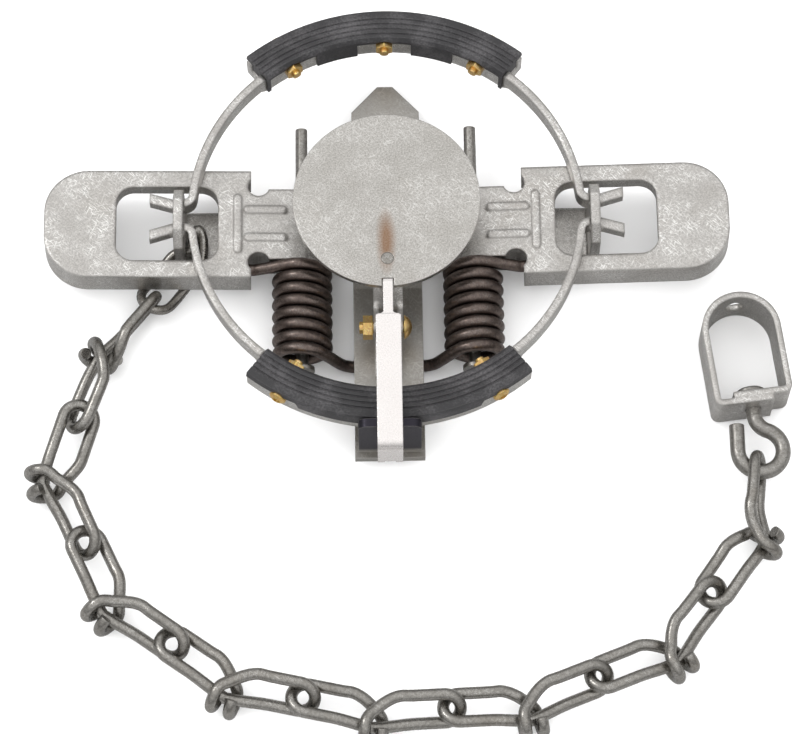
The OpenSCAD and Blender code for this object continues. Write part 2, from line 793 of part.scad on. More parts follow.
module pan() {
    color(steel) difference() {
        translate([0, 0, pan_z]) cylinder(d = pan_d, h = pan_t, $fn = 128);
        translate([-slot_w / 2, -slot_end - pan_d, 0]) cube([slot_w, pan_d, pan_z * 2]);
        translate([0, -pan_rivet_y, 0]) cylinder(d = pan_rivet_d + 2 * fit, h = pan_z * 2);
    }
}

module pan_shank() {
    ear_d = bolt_d + 2 * shank_rim;
    neck = 0.6;
    foot = [-bolt_y, bolt_z];
    knee = [shank_knee - slot_end, pan_z - shank_t / 2];
    low = foot + (bolt_ear_r + shank_over) * unit(knee - foot);
    color(steel) difference() {
        union() {
            across_x(shank_w) {
                stadium(low, knee, shank_t);
                translate([knee[0], pan_z - shank_t]) square([shank_pad, shank_t]);
            }
            for (s = [-1, 1]) translate([s * (shank_w - shank_t) / 2, 0, 0]) across_x(shank_t) {
                translate(foot) circle(d = ear_d);
                stadium(foot, low, neck * ear_d);
            }
        }
        translate([0, -bolt_y, bolt_z]) rod_x(bolt_d + 2 * run, -shank_w, shank_w);
        translate([0, -pan_rivet_y, 0]) cylinder(d = pan_rivet_d + 2 * fit, h = pan_z);
    }
}

module pan_rivet() {
    color(dull_steel) translate([0, -pan_rivet_y, 0]) {
        translate([0, 0, pan_z - shank_t - sink]) cylinder(d = pan_rivet_d, h = shank_t + pan_t + sink);
        translate([0, 0, pan_z - shank_t - fit]) mirror([0, 0, 1])
            dome(pan_rivet_d + 2 * pan_rivet_rim, pan_rivet_h);
    }
}

module pan_bolt() {
    color(yellow_zinc) translate([0, -bolt_y, bolt_z]) {
        rod_x(bolt_d, -shank_w / 2 - free - pan_nut_h - bolt_tip, shank_w / 2 + free + sink);
        translate([shank_w / 2 + free, 0, 0]) rotate([0, 90, 0]) dome(2 * bolt_d, bolt_head_h);
    }
}

module pan_nut() {
    color(yellow_zinc) translate([-shank_w / 2 - free - pan_nut_h, -bolt_y, bolt_z]) rotate([0, 90, 0])
        hex_nut(pan_nut_af, pan_nut_h, bolt_d + 2 * fit);
}

// Dog over the near jaw

module dog() {
    back = -dog_y - dog_t - dog_back;
    low = dog_hinge_z + lug_r + sink;
    top = dog_z + dog_t;
    round_r = dog_t + dog_bend;
    nose = 1;
    shoulder = [1, 3];
    color(steel) difference() {
        union() {
            across_x(dog_w) {
                translate([back + round_r, dog_z]) square([-tongue_y - back - round_r, dog_t]);
                translate([back, low]) square([dog_t, top - round_r - low]);
                translate([back + round_r, top - round_r]) intersection() {
                    difference() {
                        circle(round_r);
                        circle(dog_bend);
                    }
                    translate([-round_r, 0]) square(round_r);
                }
                polygon([[-tongue_y - 2 * dog_t, dog_z], [-tongue_y, dog_z - tongue_drop],
                    [-tongue_end, dog_z - tongue_drop], [-tongue_end, top - 1.2 * tongue_drop],
                    [-tongue_end - nose, top - tongue_drop], [-tongue_y, top - tongue_drop],
                    [-tongue_y - 2 * dog_t, top]]);
            }
            for (s = [-1, 1]) translate([s * (dog_w / 2 + cheek_gap) / 2, 0, 0])
                across_x(dog_w / 2 - cheek_gap) difference() {
                    translate([-dog_y, dog_hinge_z]) {
                        circle(eye_r);
                        translate([-eye_r, 0]) square([2 * eye_r - nose, low - dog_hinge_z + sink]);
                    }
                    translate([-dog_y, dog_hinge_z]) circle(d = dog_pin_d + 2 * run);
                }
        }
        for (s = [-1, 1]) linear_extrude(through) polygon([[s * tongue_w / 2, past - tongue_end],
            [s * tongue_w / 2, shoulder[0] - tongue_y], [s * dog_w, -tongue_y - shoulder[1]],
            [s * dog_w, past - tongue_end]]);
    }
}

module dog_pin() {
    color(dull_steel) translate([0, -dog_y, dog_hinge_z]) rod_x(dog_pin_d, -dog_w / 2, dog_w / 2);
}

// Chain: a bowed plain link in the left post, then eight links of one knotted wire each.
// Every link is two loops whose wire ends wrap round the far side of the other loop.

// Heading, roll and pitch of each link's two loops where it lies, with the slack to the next link
chain_rows = [
    [-126, -112, 75, 48, 3.5, 10.5, -7.3],
    [-107, -66, -16, 46, 3.5, 0, 0],
    [-65, -36, -16, 46, 3.5, 0, 0],
    [-35.5, -12.5, -16, 46, 3, 0, 0],
    [-12.5, 2, -16, 46, 1, 0, 0],
    [2, 21, -16, 46, 1, 0, 0],
    [21, 51.5, -16, 46, 2.2, 0, 0],
    [54, 83, -16, 74, 1.2, 4, -4]];
links = len(chain_rows);
// Heading of the plain link, the height of its lowest part and its bow to both ends
anchor_heading = -127;
anchor_low = 4.45;
anchor_near_bow = 0.0125;
anchor_far_bow = 0.042;
anchor_mid = 9;
anchor_at = [-post_x, -anchor_hole_y - anchor_half];

function anchor_z(s) = anchor_low
    + (s < anchor_mid ? anchor_near_bow : anchor_far_bow) * pow(s - anchor_mid, 2);
function anchor_point(s, t) = let (u = heading(anchor_heading, 0))
    [anchor_at[0] + s * u[0] - t * u[1], anchor_at[1] + s * u[1] + t * u[0], anchor_z(s)];
anchor_path = concat(
    [for (i = [0:9]) anchor_point(-anchor_half * sin(i * 20), anchor_half * cos(i * 20))],
    [for (f = [0.33, 0.67]) anchor_point(f * anchor_leg, -anchor_half)],
    [for (i = [0:9]) anchor_point(anchor_leg + anchor_half * sin(i * 20), -anchor_half * cos(i * 20))],
    [for (f = [0.67, 0.33]) anchor_point(f * anchor_leg, anchor_half)]);

lap = (chain_d + chain_gap) / 2;
first_rest = 2.05;
first_lift = first_rest + chain_half * sin(chain_rows[0][2]);
first_apex = anchor_point(anchor_leg + anchor_half - (chain_d + anchor_d) / 2 - chain_gap, 0);
chain_start = [first_apex[0], first_apex[1], first_lift]
    + lap * heading(chain_rows[0][0], chain_rows[0][5]);
function knot_from(p, r) = p + (chain_l - lap) * heading(r[0], r[5]);
function next_from(k, r) = k + (chain_l - lap - r[4]) * heading(r[1], r[6]);
// For each link the point where it hangs in the one before, and its knot
chain_places = [for (i = 0, p = chain_start, k = knot_from(p, chain_rows[0]); i < links;
    p = next_from(k, chain_rows[i]), i = i + 1, k = knot_from(p, chain_rows[min(i, links - 1)])) [p, k]];

wrap_r = chain_d + knot_gap;
wrap_x = 2.5;
wrap_step = 31;
twist_half = 13;
// Where a wire leaves its loop for the knot, and how softly it rises and crosses
cross_from = 9;
cross_ease = [3.5, 1.2];
cross_back = 4.5;

function blend(t) = t * t * (3 - 2 * t);
function bezier(p, t) = pow(1 - t, 3) * p[0] + 3 * pow(1 - t, 2) * t * p[1] + 3 * (1 - t) * t * t * p[2]
    + t * t * t * p[3];
half_link = concat(
    [for (f = [0, 0.2, 0.4, 0.6, 1]) [f * (chain_l - chain_half), -chain_half, 0]],
    [for (a = [-67.5:22.5:90]) [chain_l - chain_half + chain_half * cos(a), chain_half * sin(a), 0]],
    [for (x = [(chain_l - chain_half + cross_from) / 2, cross_from]) [x, chain_half, 0]],
    [for (t = [0.2:0.2:1]) bezier([[cross_from, chain_half, 0], [cross_ease[0], chain_half, cross_ease[1]],
        [-wrap_x, cross_back - chain_half, wrap_r], [-wrap_x, -chain_half, wrap_r]], t)],
    [for (i = [1:6]) let (a = 90 + i * wrap_step)
        [-wrap_x, wrap_r * cos(a) - chain_half, wrap_r * sin(a)]]);
link_path = concat(
    [for (i = [len(half_link) - 1:-1:1]) [-half_link[i][0], half_link[i][1], -half_link[i][2]]],
    half_link);

// Point q of the straight link, laid with its knot at k as row r says
function lay(q, k, r) = let (
    s = blend(min(max((q[0] + twist_half) / (2 * twist_half), 0), 1)),
    h = r[0] + (r[1] - r[0]) * s,
    o = r[2] + (r[3] - r[2]) * s,
    p = r[5] + (r[6] - r[5]) * s,
    along = q[0] < 0 ? heading(r[0], r[5]) : heading(r[1], r[6]))
    k + q[0] * along + (q[1] * cos(o) - q[2] * sin(o)) * [-sin(h), cos(h), 0]
    + (q[1] * sin(o) + q[2] * cos(o)) * [-cos(h) * sin(p), -sin(h) * sin(p), cos(p)];

module anchor_link() {
    color(chain_grey) wire_ring(anchor_path, anchor_d, 8);
}

module chain_link(i) {
    color(chain_grey) wire([for (q = link_path) lay(q, chain_places[i][1], chain_rows[i])],
        chain_d, 8, [0.2, 0.3, 1]);
}

// Swivel: hook in the last link, and a strap that turns on the hook's shank

last = chain_rows[links - 1];
hook_at = chain_places[links - 1][1]
    + (chain_l - (chain_d + hook_d) / 2 - chain_gap) * heading(last[1], last[6]);
hook_turn = 259;
eye_end = 70;
shank_heading = 96.8;
shank_bend = 6;
eye_at = [hook_at[0] - hook_r * cos(hook_turn), hook_at[1] - hook_r * sin(hook_turn), hook_at[2]];
bend_mid = eye_at + (hook_r + shank_bend) * heading(eye_end, 0);
shank_from = bend_mid + shank_bend * heading(shank_heading + 90, 0);
hook_mouth = 8.8;
strap_off = 2.5;
strap_near = 2 * strap_t + play;
strap_corner = 6;
shank_head_h = 2.5;
shank_d = hook_d + 0.02;
hook_path = concat(
    [for (y = [hook_mouth, hook_mouth - hook_d]) eye_at + [-hook_r, y, 0]],
    [for (i = [0:14]) eye_at + hook_r * heading(180 + i * (180 + eye_end) / 14, 0)],
    [for (i = [1:5]) let (a = 180 + eye_end - i * (90 + eye_end - shank_heading) / 5)
        bend_mid + shank_bend * heading(a, 0)],
    [shank_from + heading(shank_heading, 0)]);

module at_swivel() {
    translate(shank_from) rotate([0, 0, shank_heading - 90]) children();
}

module swivel_hook() {
    head_y = strap_off + strap_near + free;
    color(dull_steel) {
        wire(hook_path, hook_d, 10, [0, 0, 1]);
        at_swivel() {
            rod_y(shank_d, 0, head_y + sink);
            rod_y(2 * hook_d, head_y, head_y + shank_head_h);
        }
    }
}

module strap_plan(inset) {
    w = strap_w / 2 - inset;
    r = strap_corner - inset;
    end = strap_l - inset;
    translate([r - w, inset]) square([2 * (w - r), strap_l / 2]);
    translate([-w, inset + r]) square([2 * w, end - w - inset - r]);
    for (s = [-1, 1]) translate([s * (w - r), inset + r]) circle(r);
    translate([0, end - w]) circle(w);
}

module swivel_strap() {
    lap_half = strap_w / 2 - strap_corner - sink;
    color(steel) at_swivel() translate([0, strap_off, 0]) difference() {
        union() {
            translate([0, 0, -strap_h / 2]) linear_extrude(strap_h) difference() {
                strap_plan(0);
                strap_plan(strap_t);
            }
            translate([-lap_half, strap_t, -strap_h / 2]) cube([2 * lap_half, strap_t, strap_h]);
        }
        rod_y(shank_d + 2 * run, -past, strap_near + past);
        rod_y(bow_hole_d, strap_l - 3 * strap_t, strap_l + past);
    }
}

base_strip();
cross_member();
base_rivets();
pan_bracket();
lever(-1);  // lever_left
lever(1);  // lever_right
lever_pin(-1);  // lever_pin_left
lever_pin(1);  // lever_pin_right
spring(-1);  // spring_left
spring(1);  // spring_right
jaw();  // jaw_far
near_side() jaw();  // jaw_near
pad();  // pad_far
near_side() pad();  // pad_near
pad_screws();  // pad_screws_far
near_side() pad_screws();  // pad_screws_near
pad_nuts();  // pad_nuts_far
near_side() pad_nuts();  // pad_nuts_near
pan();
pan_shank();
pan_rivet();
pan_bolt();
pan_nut();
dog();
dog_pin();
anchor_link();
chain_link(0);  // chain_link_1
chain_link(1);  // chain_link_2
chain_link(2);  // chain_link_3
chain_link(3);  // chain_link_4
chain_link(4);  // chain_link_5
chain_link(5);  // chain_link_6
chain_link(6);  // chain_link_7
chain_link(7);  // chain_link_8
swivel_hook();
swivel_strap();
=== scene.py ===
"""Looks of a padded foothold trap: wire forms, plated plates, rubber pads and a plain studio."""
import math
from collections import namedtuple

import bmesh
import bpy
from bpy.props import FloatProperty, FloatVectorProperty, IntProperty, PointerProperty
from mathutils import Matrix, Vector


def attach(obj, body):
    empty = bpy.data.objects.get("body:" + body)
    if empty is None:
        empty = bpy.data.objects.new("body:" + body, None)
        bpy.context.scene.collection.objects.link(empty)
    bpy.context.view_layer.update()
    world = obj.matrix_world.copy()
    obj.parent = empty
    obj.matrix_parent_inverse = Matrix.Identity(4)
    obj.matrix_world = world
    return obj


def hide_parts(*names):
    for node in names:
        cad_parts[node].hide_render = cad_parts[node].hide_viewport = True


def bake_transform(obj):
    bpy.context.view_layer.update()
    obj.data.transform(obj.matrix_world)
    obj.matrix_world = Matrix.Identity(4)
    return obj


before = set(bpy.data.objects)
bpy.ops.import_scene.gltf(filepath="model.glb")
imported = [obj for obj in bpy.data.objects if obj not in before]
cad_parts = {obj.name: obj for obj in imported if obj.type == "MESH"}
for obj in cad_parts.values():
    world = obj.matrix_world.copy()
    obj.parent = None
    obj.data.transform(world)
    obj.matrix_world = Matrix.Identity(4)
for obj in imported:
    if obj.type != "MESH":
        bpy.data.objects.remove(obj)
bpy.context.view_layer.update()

bl_info = {
    "name": "Padded foothold trap",
    "version": (1, 0, 0),
    "blender": (4, 5, 0),
    "location": "View3D > Sidebar > Trap",
    "description": "Wire forms, finishes and studio of a padded foothold trap",
    "category": "Object",
}

MM = 0.001
SIDES = {"left": -1, "right": 1}
JAWS = {"near": -1, "far": 1}


def linear(code):
    """Linear RGBA of an sRGB hex colour."""
    channels = [int(code[i:i + 2], 16) / 255 for i in (0, 2, 4)]
    return [c / 12.92 if c <= 0.04045 else ((c + 0.055) / 1.055) ** 2.4 for c in channels] + [1.0]


def size_property(name, description, default_mm):
    return FloatProperty(name=name, description=description, default=default_mm * MM, unit="LENGTH",
                         precision=5)


def colour_property(name, description, code):
    return FloatVectorProperty(name=name, description=description, default=linear(code), size=4,
                               subtype="COLOR", min=0.0, max=1.0)


class TrapWireSizes(bpy.types.PropertyGroup):
    """Sizes of the springs, the chain and the hook."""
    spring_wire: size_property("Spring wire", "Diameter of the spring wire", 3.95)
    coil: size_property("Coil", "Mean diameter of the spring coils", 16.3)
    pitch: size_property("Coil pitch", "Advance of the coil in one turn", 4.3)
    turns: IntProperty(name="Coil turns", description="Whole turns of each spring", default=7,
                       min=5, max=7)
    chain_wire: size_property("Chain wire", "Diameter of the chain wire", 3.9)
    link_half: size_property("Link half length", "From a link's knot to the end of its loop", 27.2)
    loop_half: size_property("Loop half width", "Half the width of a loop along the wire's middle",
                             5.2)
    post_wire: size_property("Post link wire", "Diameter of the plain link in the post", 3.2)
    hook_wire: size_property("Hook wire", "Diameter of the hook's wire", 5.0)
    hook_eye: size_property("Hook eye", "Radius of the hook's eye along the wire's middle", 7.4)
    wire_sides: IntProperty(name="Wire sides", description="Facets round a wire", default=20,
                            min=8, max=48)


class TrapColours(bpy.types.PropertyGroup):
    """Colours of the finishes."""
    zinc_light: colour_property("Zinc, light", "Bright parts of the plated plates", "D2CFCB")
    zinc_dark: colour_property("Zinc, dark", "Dark patches of the plated plates", "ABA8A4")
    zinc_dull: colour_property("Zinc, dull", "Dull plating of the cross member", "A09D97")
    polished: colour_property("Polished steel", "Dog bar, rubbed bright", "FDF8F6")
    polished_dull: colour_property("Polished steel, dull", "Dog bar between scratches", "ECE7E4")
    # Painted shade: a near-black colour for the upright tab's face, in place of the shadow under
    # the jaw and of the dark surroundings that the face mirrors
    scale: colour_property("Mill scale", "Dark face of the upright tab", "3A383F")
    zinc_stain: colour_property("Zinc, stain", "Brown handling stains", "8A7B66")
    rust: colour_property("Rust", "Streak on the pan", "8A6038")
    steel_light: colour_property("Dull steel, light", "Pins and rivets", "A3A09B")
    steel_dark: colour_property("Dull steel, dark", "Pins and rivets, dull", "85827D")
    chain_light: colour_property("Chain, light", "Rubbed chain wire", "A3A09B")
    chain_dark: colour_property("Chain, dark", "Dull chain wire", "85827D")
    spring_light: colour_property("Spring, light", "Bronze-tinted spring wire", "7A6D66")
    spring_dark: colour_property("Spring, dark", "Oil-dark spring wire", "5E5450")
    gold_light: colour_property("Yellow zinc, light", "Yellow passivated zinc", "F2DC80")
    gold_dark: colour_property("Yellow zinc, dark", "Copper-tinted passivated zinc", "D4966A")
    rubber: colour_property("Rubber", "Moulded pads", "232224")
    rubber_dust: colour_property("Rubber dust", "Dust in the rubber's skin", "565456")
    floor: colour_property("Floor", "Studio floor", "F8F8F8")
    mirrored_floor: colour_property("Mirrored floor", "Studio floor as metal mirrors it", "9C9C9C")


class TrapStudio(bpy.types.PropertyGroup):
    """Camera of the studio."""
    elevation: FloatProperty(name="Elevation", description="Height of the camera as an angle",
                             default=math.radians(68.5), subtype="ANGLE")
    turn: FloatProperty(name="Turn", description="Small turn of the camera about the upright",
                        default=math.radians(0.9), subtype="ANGLE")
    distance: size_property("Distance", "Camera to the middle of the picture", 1122)
    aim_x: size_property("Aim X", "Ground point in the middle of the picture", 3.7)
    aim_y: size_property("Aim Y", "Ground point in the middle of the picture", -45.07)
    lens: FloatProperty(name="Lens", description="Focal length in millimetres", default=151.5)


def add(tree, kind, inputs=None, **settings):
    """Adds a node, sets its properties and inputs, and links those that are given as sockets."""
    made = tree.nodes.new(kind)
    for key, value in settings.items():
        setattr(made, key, value)
    for key, value in (inputs or {}).items():
        if isinstance(value, bpy.types.NodeSocket):
            tree.links.new(value, made.inputs[key])
        else:
            made.inputs[key].default_value = value
    return made


# Socket places of the Mix node: factor, both sides and result of colours, both sides of numbers
FACTOR, FIRST, SECOND, MIXED, LOW, HIGH = 0, 6, 7, 2, 2, 3


def mapped(tree, value, span, low=0.0, high=1.0):
    """Output of a value whose span is mapped to low and high and held there."""
    return add(tree, "ShaderNodeMapRange", {
        "Value": value, "From Min": span[0], "From Max": span[1], "To Min": low,
        "To Max": high}).outputs[0]


def mixed(tree, share, first, second):
    """Output of two colours mixed by the share of the second."""
    return add(tree, "ShaderNodeMix", {FACTOR: share, FIRST: first, SECOND: second},
               data_type="RGBA").outputs[MIXED]


def computed(tree, operation, *values):
    """Output of an operation on values."""
    return add(tree, "ShaderNodeMath", dict(enumerate(values)), operation=operation).outputs[0]


def per_mm(size):
    """Texture size setting at which one feature is about this many millimetres wide."""
    return 1.0 / (size * MM)


def noise(tree, place, width, **inputs):
    """Output of a noise whose features are about this many millimetres wide."""
    return add(tree, "ShaderNodeTexNoise", {"Vector": place, "Scale": per_mm(width),
                                            **inputs}).outputs["Fac"]


# Edges: samples of their rounding, and how far a rounded normal leans from the face, as a cosine,
# where rubbing starts and where it is full
EDGE_SAMPLES = 6
EDGE_LEAN = (0.995, 0.86)


def rubbed_edges(tree, radius, most):
    """Outputs of the normals rounded at the edges, and of how much handling rubs these bright."""
    edge = add(tree, "ShaderNodeBevel", {"Radius": radius * MM}, samples=EDGE_SAMPLES).outputs[0]
    face = add(tree, "ShaderNodeNewGeometry").outputs["Normal"]
    along = add(tree, "ShaderNodeVectorMath", {0: edge, 1: face},
                operation="DOT_PRODUCT").outputs["Value"]
    return edge, mapped(tree, along, EDGE_LEAN, high=most)


def new_material(name):
    material = bpy.data.materials.new(name)
    material.use_nodes = True
    material.node_tree.nodes.clear()
    return material, material.node_tree


def surfaced(tree, inputs):
    """Ends a material's tree in one surface shader."""
    shader = add(tree, "ShaderNodeBsdfPrincipled", inputs)
    add(tree, "ShaderNodeOutputMaterial", {"Surface": shader.outputs[0]})


# Colour of steel at the bottom of a fresh scratch
BARE_METAL = linear("FBFAF7")
# Share of the cloudy patches beside the grain, and the spans of both for the tone and the roughness
PATCH_SHARE = 0.2
TONE_SPAN = (0.42, 0.78)
ROUGH_SPAN = (0.35, 0.85)
# Stains: their width in patches, and the span of their noise from clear to full
STAIN_WIDTH = 2.3
STAIN_SPAN = (0.52, 0.75)
# Scratches: tilts and turns of their directions in radians, span of their peaks, and of the patches
# that break them up
SCRATCH_TILTS = (0.2, 0.1)
SCRATCH_TURNS = (0.3, -0.7, 1.2, 2.3)
SCRATCH_SPAN = (0.69, 0.73)
SCRATCHED_SPAN = (0.38, 0.58)
METAL_RUBBED = 0.5
METAL_BUMP, METAL_RELIEF = 0.16, 0.1


def worn_metal(name, light, dark, stain, patch, grain, scratch, rough, stained=0.16, scratched=0.9,
               soft=0.5, streak=None):
    """Metal with cloudy patches, fine grain, short scratches, stains and edges rubbed bright.

    patch and grain are widths in millimetres, scratch is a length and a width, rough is the range
    of roughness, stained and scratched are how much of both shows, soft is the radius of the edges,
    and streak gives a patch of colour of its own, used for a rust stain on the pan and for painted
    shade on the upright tab: middle, half sizes, colour, share, fade.
    """
    material, tree = new_material(name)
    place = add(tree, "ShaderNodeTexCoord").outputs["Object"]
    patches = noise(tree, place, patch, Detail=5.0, Roughness=0.62)
    fine = noise(tree, place, grain, Detail=2.0, Roughness=0.7)
    both = computed(tree, "MULTIPLY_ADD", patches, PATCH_SHARE, fine)
    colour = mixed(tree, mapped(tree, both, TONE_SPAN), dark, light)

    stains = noise(tree, place, STAIN_WIDTH * patch, Detail=6.0, Distortion=0.6)
    colour = mixed(tree, mapped(tree, stains, STAIN_SPAN, high=stained), colour, stain)

    # Short scratches are the peaks of noises stretched along four directions
    long_mm, thin_mm = scratch
    lines = None
    for turn in SCRATCH_TURNS:
        stretched = add(tree, "ShaderNodeMapping", {
            "Vector": place, "Rotation": (*SCRATCH_TILTS, turn),
            "Scale": (long_mm * MM, thin_mm * MM, thin_mm * MM)}, vector_type="TEXTURE").outputs[0]
        wave = add(tree, "ShaderNodeTexNoise", {"Vector": stretched, "Scale": 1.0,
                                                "Detail": 0.0}).outputs["Fac"]
        line = mapped(tree, wave, SCRATCH_SPAN)
        lines = line if lines is None else computed(tree, "MAXIMUM", lines, line)
    broken = mapped(tree, patches, SCRATCHED_SPAN, high=scratched)
    lines = computed(tree, "MULTIPLY", lines, broken)
    colour = mixed(tree, lines, colour, BARE_METAL)

    # A patch of colour of its own: rust on the pan, painted shade on the upright tab
    if streak:
        middle, halves, streak_colour, most, fade = streak
        centred = add(tree, "ShaderNodeMapping", {
            "Vector": place, "Location": [-m / h for m, h in zip(middle, halves)],
            "Scale": [per_mm(h) for h in halves]}).outputs[0]
        far = add(tree, "ShaderNodeVectorMath", {0: centred}, operation="LENGTH").outputs["Value"]
        ragged = computed(tree, "MULTIPLY_ADD", stains, fade, far)
        in_streak = mapped(tree, ragged, (1.0 - fade / 2, 1.0 + fade), low=most, high=0.0)
        colour = mixed(tree, in_streak, colour, streak_colour)

    edge, rubbed = rubbed_edges(tree, soft, METAL_RUBBED)
    colour = mixed(tree, rubbed, colour, light)
    roughness = mapped(tree, both, ROUGH_SPAN, low=rough[1], high=rough[0])
    height = computed(tree, "SUBTRACT", fine, lines)
    normal = add(tree, "ShaderNodeBump", {"Height": height, "Strength": METAL_BUMP,
                                          "Distance": METAL_RELIEF * MM, "Normal": edge}).outputs[0]
    surfaced(tree, {"Base Color": colour, "Metallic": 1.0, "Roughness": roughness,
                    "Normal": normal})
    return material


# Rubber: widths of its pores and clouds and radius of its edges in millimetres
PORE_WIDTH, CLOUD_WIDTH, RUBBER_SOFT = 0.7, 9, 0.5
# Dust: the span of pores by clouds from clean to dusty, and how much shows there and on the edges
DUST_SPAN = (0.22, 0.4)
RUBBER_DUSTED, RUBBER_RUBBED = 0.7, 0.45
RUBBER_SPAN, RUBBER_ROUGH = (0.3, 0.7), (0.5, 0.68)
RUBBER_BUMP, RUBBER_RELIEF = 0.6, 0.15
RUBBER_IOR = 1.52


def moulded_rubber(colours):
    """Black rubber from a matt mould: greyed by dust in its pores, lighter on rubbed edges."""
    dark, dusty = colours.rubber, colours.rubber_dust
    material, tree = new_material("moulded_rubber")
    place = add(tree, "ShaderNodeTexCoord").outputs["Object"]
    pores = noise(tree, place, PORE_WIDTH, Detail=6.0, Roughness=0.7)
    cloud = noise(tree, place, CLOUD_WIDTH, Detail=4.0)
    both = computed(tree, "MULTIPLY", pores, cloud)
    colour = mixed(tree, mapped(tree, both, DUST_SPAN, high=RUBBER_DUSTED), dark, dusty)
    edge, rubbed = rubbed_edges(tree, RUBBER_SOFT, RUBBER_RUBBED)
    colour = mixed(tree, rubbed, colour, dusty)
    roughness = mapped(tree, cloud, RUBBER_SPAN, *RUBBER_ROUGH)
    normal = add(tree, "ShaderNodeBump", {"Height": pores, "Strength": RUBBER_BUMP,
                                          "Distance": RUBBER_RELIEF * MM,
                                          "Normal": edge}).outputs[0]
    surfaced(tree, {"Base Color": colour, "Roughness": roughness, "IOR": RUBBER_IOR,
                    "Normal": normal})
    return material


def wire_tree():
    """Node tree that sweeps a round wire along a chain of edges."""
    name = "wire along a path"
    if name in bpy.data.node_groups:
        return bpy.data.node_groups[name]
    tree = bpy.data.node_groups.new(name, "GeometryNodeTree")
    for label, kind in (("Path", "NodeSocketGeometry"), ("Diameter", "NodeSocketFloat"),
                        ("Sides", "NodeSocketInt"), ("Finish", "NodeSocketMaterial")):
        tree.interface.new_socket(label, in_out="INPUT", socket_type=kind)
    tree.interface.new_socket("Wire", in_out="OUTPUT", socket_type="NodeSocketGeometry")
    given = add(tree, "NodeGroupInput").outputs
    path = add(tree, "GeometryNodeMeshToCurve", {"Mesh": given["Path"]}).outputs[0]
    radius = computed(tree, "MULTIPLY", given["Diameter"], 0.5)
    ring = add(tree, "GeometryNodeCurvePrimitiveCircle", {"Resolution": given["Sides"],
                                                          "Radius": radius}).outputs[0]
    wire = add(tree, "GeometryNodeCurveToMesh", {"Curve": path, "Profile Curve": ring,
                                                 "Fill Caps": True}).outputs[0]
    smooth = add(tree, "GeometryNodeSetShadeSmooth", {"Geometry": wire}).outputs[0]
    real = add(tree, "GeometryNodeRealizeInstances", {"Geometry": smooth}).outputs[0]
    done = add(tree, "GeometryNodeSetMaterial", {"Geometry": real,
                                                 "Material": given["Finish"]}).outputs[0]
    add(tree, "NodeGroupOutput", {"Wire": done})
    return tree


def wire_mesh(path, diameter, finish, closed=False):
    """Plain mesh of a wire along points in millimetres; the diameter is in metres."""
    count = len(path)
    edges = [(i, (i + 1) % count) for i in range(count if closed else count - 1)]
    guide = bpy.data.meshes.new("wire guide")
    guide.from_pydata([[c * MM for c in point] for point in path], edges, [])
    carrier = bpy.data.objects.new("wire guide", guide)
    bpy.context.scene.collection.objects.link(carrier)
    modifier = carrier.modifiers.new("wire", "NODES")
    tree = wire_tree()
    sides = bpy.context.scene.trap_wire.wire_sides
    values = {"Diameter": diameter, "Sides": sides, "Finish": finish}
    modifier.node_group = tree
    for item in tree.interface.items_tree:
        if item.name in values:
            modifier[item.identifier] = values[item.name]
    graph = bpy.context.evaluated_depsgraph_get()
    mesh = bpy.data.meshes.new_from_object(carrier.evaluated_get(graph))
    carrier.modifiers.remove(modifier)
    bpy.data.meshes.remove(guide)
    outward(mesh)
    return mesh


# Angles above which an edge stays crisp, of wires and turned forms and of pressed and cut forms
ROUND_CRISP = math.radians(50)
CUT_CRISP = math.radians(30)
LATHE_STEPS = 48


def meshed(form, name):
    """Mesh of a finished form, which is freed."""
    mesh = bpy.data.meshes.new(name)
    form.to_mesh(mesh)
    form.free()
    return mesh


def outward(mesh):
    """Turns all faces outwards and keeps the rims of flat ends crisp."""
    form = bmesh.new()
    form.from_mesh(mesh)
    bmesh.ops.recalc_face_normals(form, faces=form.faces)
    form.to_mesh(mesh)
    form.free()
    mesh.set_sharp_from_angle(angle=ROUND_CRISP)


def prism_mesh(sections):
    """Mesh through a row of sections with the same number of corners, in millimetres."""
    form = bmesh.new()
    rows = [[form.verts.new(Vector(spot) * MM) for spot in section] for section in sections]
    corners = len(rows[0])
    for low, high in zip(rows, rows[1:]):
        for i in range(corners):
            form.faces.new((low[i], low[(i + 1) % corners], high[(i + 1) % corners], high[i]))
    form.faces.new(rows[0])
    form.faces.new(rows[-1])
    mesh = meshed(form, "prism")
    outward(mesh)
    return mesh


def turned_mesh(profile, centre, axis, finish):
    """Mesh of a lathe-turned form from pairs of distance along the axis and radius, in mm."""
    turn = Vector(axis).to_track_quat("Z", "Y").to_matrix()
    angles = [2 * math.pi * i / LATHE_STEPS for i in range(LATHE_STEPS)]
    mesh = prism_mesh([[turn @ Vector((radius * math.cos(angle), radius * math.sin(angle), along))
                        + centre for angle in angles] for along, radius in profile])
    mesh.materials.append(finish)
    return mesh


def joined(meshes):
    """One mesh from several with the same finish."""
    form = bmesh.new()
    for mesh in meshes:
        form.from_mesh(mesh)
    whole = meshed(form, "joined forms")
    whole.materials.append(meshes[0].materials[0])
    whole.set_sharp_from_angle(angle=ROUND_CRISP)
    return whole


def piece(name, mesh):
    """Object of a finished mesh."""
    made = bpy.data.objects.new(name, mesh)
    mesh.name = name
    bpy.context.scene.collection.objects.link(made)
    return made


# Distances below which vertices of a copy are welded, and its slivers taken out
WELD, SLIVER = 0.001 * MM, 0.0005 * MM
# Slack in millimetres when vertices are picked by the height of an edge
CLOSE = 0.1


